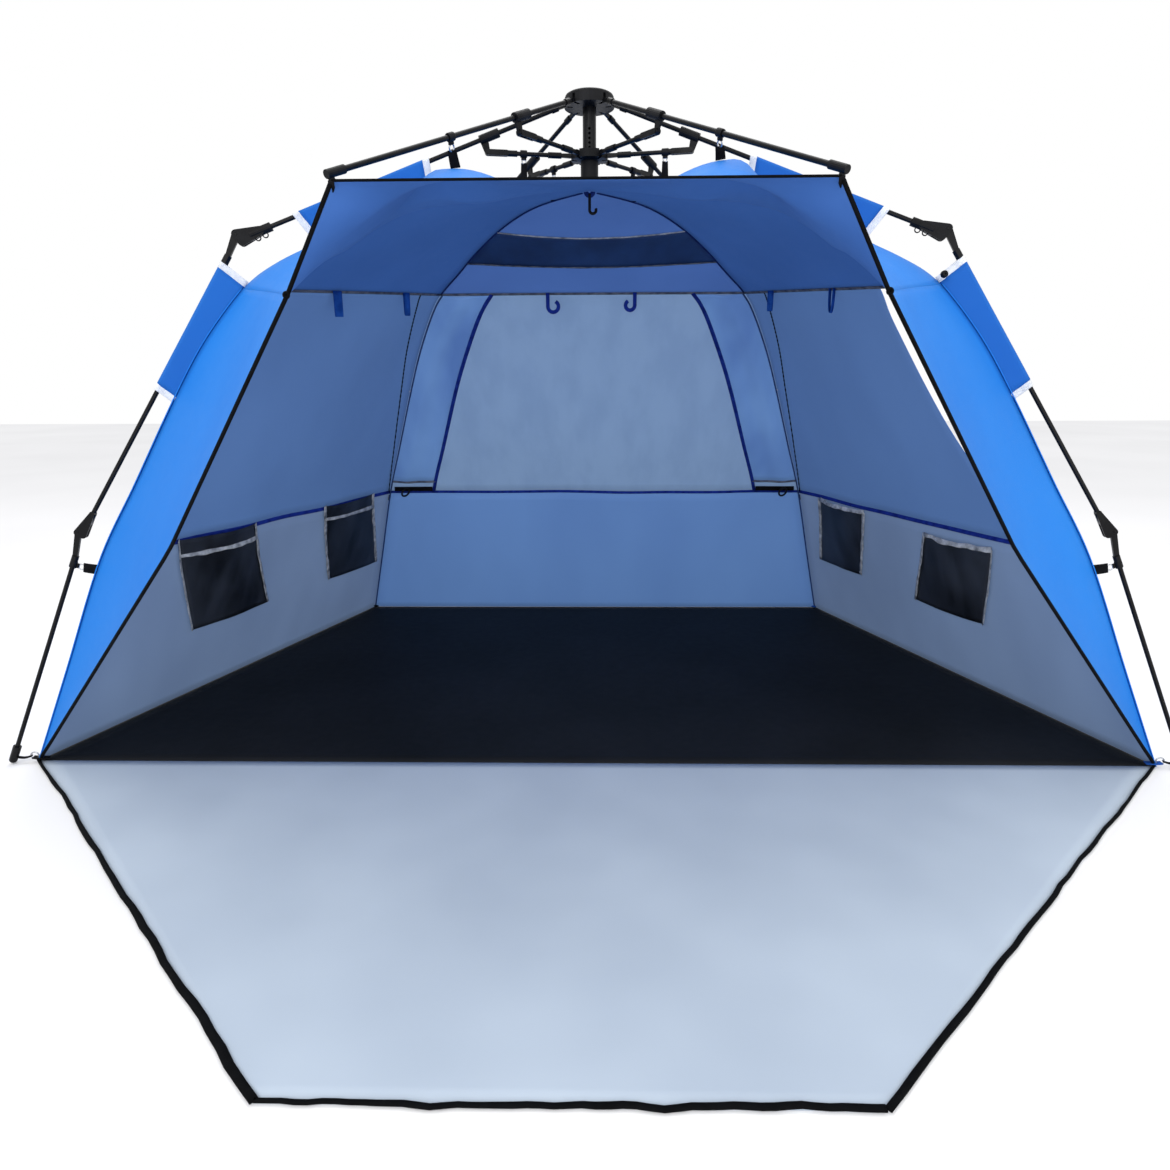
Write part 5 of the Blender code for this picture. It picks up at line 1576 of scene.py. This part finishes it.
@dataclass
class Straps(SubAssembly):
    """Clips, rings and straps between the poles and the cloth."""

    clip_bore: float = 0.0052
    clip_wall: float = 0.0022
    clip_length: float = 0.014
    clip_edge: float = 0.0016
    lug_section: Pair = (0.011, 0.005)
    ring_wire: float = 0.0014
    strap_thickness: float = 0.0026
    strap_bow: float = 0.0015
    corner_thickness: float = 0.0024
    tip_section: Pair = (0.010, 0.0028)
    leg_off: float = -0.0082
    shin_tilt: float = math.radians(66.7)

    def clip(self, name: str, point: Vector, along: Vector, down: Vector, body: str,
             bore: float | None = None, ring_radius: float = 0.0058) -> Vector:
        """A collar on a pole with a ring under it.

        Args:
            name: Piece name stem.
            point: Point of the pole's axis.
            along: Direction of the pole.
            down: Direction of the strap.
            body: Body that it rides on.
            bore: Bore radius, where it isn't the usual one.
            ring_radius: Radius of the ring's centre line.

        Returns:
            Where the strap begins.
        """
        shop, palette, length, edge = self.shop, self.palette, self.clip_length, self.clip_edge
        bore = bore or self.clip_bore
        outer = bore + self.clip_wall
        along = along.normalized()
        profile = [(bore, 0.0), (outer * 0.94, 0.0), (outer, edge), (outer, length - edge),
                   (outer * 0.94, length), (bore, length)]
        shop.put(turned(f"{name}_clip", point - along * length / 2, along, profile, palette.plastic), body)
        across = along.cross(down).normalized()
        lug = [point + down * (outer - 0.001), point + down * (outer + 0.0045)]
        shop.tape(f"{name}_clip_lug", lug, across, *self.lug_section, palette.plastic, body=body)
        centre = point + down * (outer + 0.0035 + ring_radius)
        shop.put(hoop(f"{name}_ring", centre, across, ring_radius, self.ring_wire, palette.ring), body)
        return centre + down * ring_radius * 0.7

    def strap(self, name: str, start: Vector, end: Vector, facing: Vector, width: float,
              flare: float = 1.15) -> None:
        """A flat strap, a little bowed.

        Args:
            name: Piece name.
            start: Upper end.
            end: Lower end.
            facing: Direction of its flat side.
            width: Strap width.
            flare: Width at the lower end over width at the upper one.
        """
        path = [start.lerp(end, share) + facing * self.strap_bow * math.sin(math.pi * share)
                for share in even(10)]
        sizes = [1.0 + (flare - 1.0) * share for share in even(10)]
        self.shop.tape(name, path, facing, width, self.strap_thickness, self.palette.strap, sizes)

    def build_roof_straps(self) -> None:
        """Straps from the front arms and from the side and rear struts down to the roof."""
        shape = self.shape
        for hand, radius, peak in ((Hand.LEFT, 0.392, 1.199), (Hand.RIGHT, 0.381, 1.208)):
            point = shape.arm(shape.front_azimuth, hand, radius)
            along = point - shape.arm(shape.front_azimuth, hand, radius - 0.1)
            target = Vector((0.236 * hand.value, -0.285, peak))
            down = (target - point).normalized()
            down = (down - along.normalized() * down.dot(along.normalized())).normalized()
            arm = f"front_arm_{hand.label}"
            top = self.clip(arm, point, along, down, arm)
            self.strap(f"front_roof_strap_{hand.label}", top, target, PORCHWARD, 0.016)
        for leg, hand, radius in ((Leg.SIDE, Hand.LEFT, 0.139), (Leg.SIDE, Hand.RIGHT, 0.160),
                                  (Leg.REAR, Hand.LEFT, 0.126), (Leg.REAR, Hand.RIGHT, 0.150)):
            out, strut = shape.heading(shape.azimuth(leg), hand), f"{leg.value}_strut_{hand.label}"
            point = out * radius + UP * 1.2861
            top = self.clip(strut, point, out, -UP, strut, 0.0050, 0.0040)
            self.strap(f"{leg.value}_roof_strap_{hand.label}", top, Vector((point.x, point.y, 1.2215)),
                       PORCHWARD, 0.012, 1.3)

    def build_leg_straps(self) -> None:
        """Straps from the lower legs to the ridges, and from the feet to the floor's corners."""
        shape, tilt = self.shape, self.shin_tilt
        for leg in Leg:
            azimuth = shape.azimuth(leg)
            for hand in Hand:
                out = shape.heading(azimuth, hand)
                along = out * math.cos(tilt) - UP * math.sin(tilt)
                point = shape.leg_point(azimuth, hand, shape.shin, 0.072, tilt, self.leg_off)
                down = (-out * math.sin(tilt) - UP * math.cos(tilt)).normalized()
                top = self.clip(f"{leg.value}_leg_{hand.label}", point, along, down,
                                f"{leg.value}_lower_leg_{hand.label}")
                ridge = shape.ridge(leg, shape.level_at(top.z - 0.006), hand)
                facing = out.cross(UP).normalized()
                self.strap(f"{leg.value}_{hand.label}_ridge_strap", top, ridge - out * 0.004,
                           -facing if facing.y > 0 else facing, 0.021, 1.05)
                self.corner_strap(leg, hand, out)

    def corner_strap(self, leg: Leg, hand: Hand, out: Vector) -> None:
        """Ring, cloth tab and short strap between a floor corner and its foot.

        Args:
            leg: Leg that the foot belongs to.
            hand: Left or right.
            out: Level direction from the mast to the foot.
        """
        shop, shape, palette = self.shop, self.shape, self.palette
        corner = shape.ridge(leg, 0.0, hand)
        ring_at = corner + out * 0.008 + UP * 0.0120
        label = f"{leg.value}_{hand.label}"
        shop.put(hoop(f"corner_ring_{label}", ring_at, out.cross(UP), radius=0.0080, wire=0.0016,
                      material=palette.ring), CLOTH_BODY)
        tab = [corner - out * 0.020 + UP * 0.0045, corner + UP * 0.0055,
               ring_at + out * 0.004 - UP * 0.004]
        shop.tape(f"corner_tab_{label}", tab, UP, 0.016, self.corner_thickness,
                  palette.strap if hand is Hand.LEFT else palette.tab, body=CLOTH_BODY)
        foot = out * (shape.foot[0] - 0.011) + UP * 0.013
        start = ring_at + out * 0.006
        path = [start.lerp(foot, share) - UP * 0.003 * math.sin(math.pi * share) for share in even(8)]
        shop.tape(f"corner_strap_{label}", path, UP, 0.009, self.corner_thickness, palette.strap,
                  body=CLOTH_BODY)

    def build_tip_loops(self) -> None:
        """Black loops from the front end caps to the roof's corners."""
        shop, shape = self.shop, self.shape
        for hand in Hand:
            low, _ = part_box(f"front_{hand.label}_end_cap")
            out = shape.heading(shape.front_azimuth, hand)
            lug = out * 0.6435 + UP * (low.z + 0.0052)
            corner = shape.mirrored(shape.corner, hand)
            shop.put(hoop(f"tip_ring_{hand.label}", lug - UP * 0.004, out.cross(UP), 0.0056, self.ring_wire,
                          self.palette.ring), f"front_arm_{hand.label}")
            path = [lug.lerp(corner, share) - UP * (0.006 + 0.004 * math.sin(math.pi * share))
                    for share in even(8)]
            path[-1] = corner + Vector((0.0, -0.003, -0.002))
            shop.tape(f"tip_strap_{hand.label}", path, PORCHWARD, *self.tip_section, self.palette.strap)

    def build_toggle(self) -> None:
        """Ball toggle on the right lower flap."""
        at = self.shape.ridge(Leg.SIDE, 6.05, Hand.RIGHT) + Vector((0.004, -0.012, 0.010))
        profile = [(0.0016, 0.0), (0.0052, 0.0012), (0.0072, 0.0050), (0.0072, 0.0088), (0.0052, 0.0126),
                   (0.0016, 0.0138)]
        self.shop.put(turned("flap_toggle", at, PORCHWARD, profile, self.palette.plastic))

    def build(self) -> None:
        """Make every clip and strap."""
        self.build_roof_straps()
        self.build_leg_straps()
        self.build_tip_loops()
        self.build_toggle()


@dataclass
class Studio:
    """Pale floor, soft lights and the camera at the photograph's place."""

    place: Triple = (0.0224, -1.8058, 0.8325)
    pitch: float = math.radians(-14.925)
    yaw: float = math.radians(-1.135)
    roll: float = math.radians(-0.249)
    lens: float = 23.739
    sensor: float = 36.0
    floor_half: float = 14.0
    floor_level: float = -0.0015

    def build_camera(self) -> None:
        """Camera with the photograph's view."""
        forward = Vector((math.sin(self.yaw) * math.cos(self.pitch),
                          math.cos(self.yaw) * math.cos(self.pitch), math.sin(self.pitch)))
        level_right = Vector((math.cos(self.yaw), -math.sin(self.yaw), 0.0))
        level_up = level_right.cross(forward)
        right = level_right * math.cos(self.roll) + level_up * math.sin(self.roll)
        top = -level_right * math.sin(self.roll) + level_up * math.cos(self.roll)
        data = bpy.data.cameras.new("photo_camera")
        data.lens = self.lens
        data.sensor_width = self.sensor
        camera = bpy.data.objects.new("photo_camera", data)
        matrix = Matrix((right, top, -forward)).transposed().to_4x4()
        matrix.translation = Vector(self.place)
        camera.matrix_world = matrix
        bpy.context.scene.collection.objects.link(camera)
        bpy.context.scene.camera = camera

    def build_floor(self) -> None:
        """A wide pale floor."""
        shape, half = bmesh.new(), self.floor_half
        shape.faces.new([shape.verts.new((x * half, y * half, self.floor_level))
                         for x, y in ((-1, -1), (1, -1), (1, 1), (-1, 1))])
        bench = Bench("studio_floor_paint")
        bench.coloured(bench.cloud(0.6, 2.0), srgb(226, 226, 228), srgb(232, 232, 234))
        material = bench.set(Roughness=0.9, Specular_IOR_Level=0.0, Emission_Color=(1.0, 1.0, 1.0, 1.0),
                             Emission_Strength=0.07)
        new_piece("studio_floor", shape, [material])

    def build_lights(self) -> None:
        """Soft boxes above, in front and at both sides, and a bright sky."""
        boxes = (("key", (-1.8, -3.2, 3.4), 55.0, 3.0), ("fill", (2.6, -2.8, 2.2), 30.0, 3.0),
                 ("top", (0.0, 1.4, 4.2), 55.0, 3.0), ("inside", (0.0, -3.0, 1.0), 18.0, 2.2))
        for name, place, power, size in boxes:
            data = bpy.data.lights.new(name, "AREA")
            data.energy = power
            data.size = size
            light = bpy.data.objects.new(name, data)
            light.location = place
            aim = Vector((0.0, 0.0, 0.5)) - Vector(place)
            light.rotation_euler = aim.to_track_quat("-Z", "Y").to_euler()
            bpy.context.scene.collection.objects.link(light)
        world = bpy.data.worlds.new("studio_world")
        world.use_nodes = True
        background = world.node_tree.nodes["Background"]
        background.inputs["Color"].default_value = (1.0, 1.0, 1.0, 1.0)
        background.inputs["Strength"].default_value = 1.0
        bpy.context.scene.world = world
        bpy.context.scene.view_settings.view_transform = "Standard"

    def build(self) -> None:
        """Make the studio."""
        self.build_camera()
        self.build_floor()
        self.build_lights()


def main() -> None:
    logging.basicConfig(level=logging.INFO, format="%(name)s: %(message)s")
    shop = Workshop(TentShape(), Palette())
    Studio().build()
    for kind in (FrameDress, Roof, Walls, WindowCovers, Pockets, SleeveFlaps, Ground, Trim, Straps):
        kind(shop).build()
    bpy.context.view_layer.update()


if __name__ == "__main__":
    main()
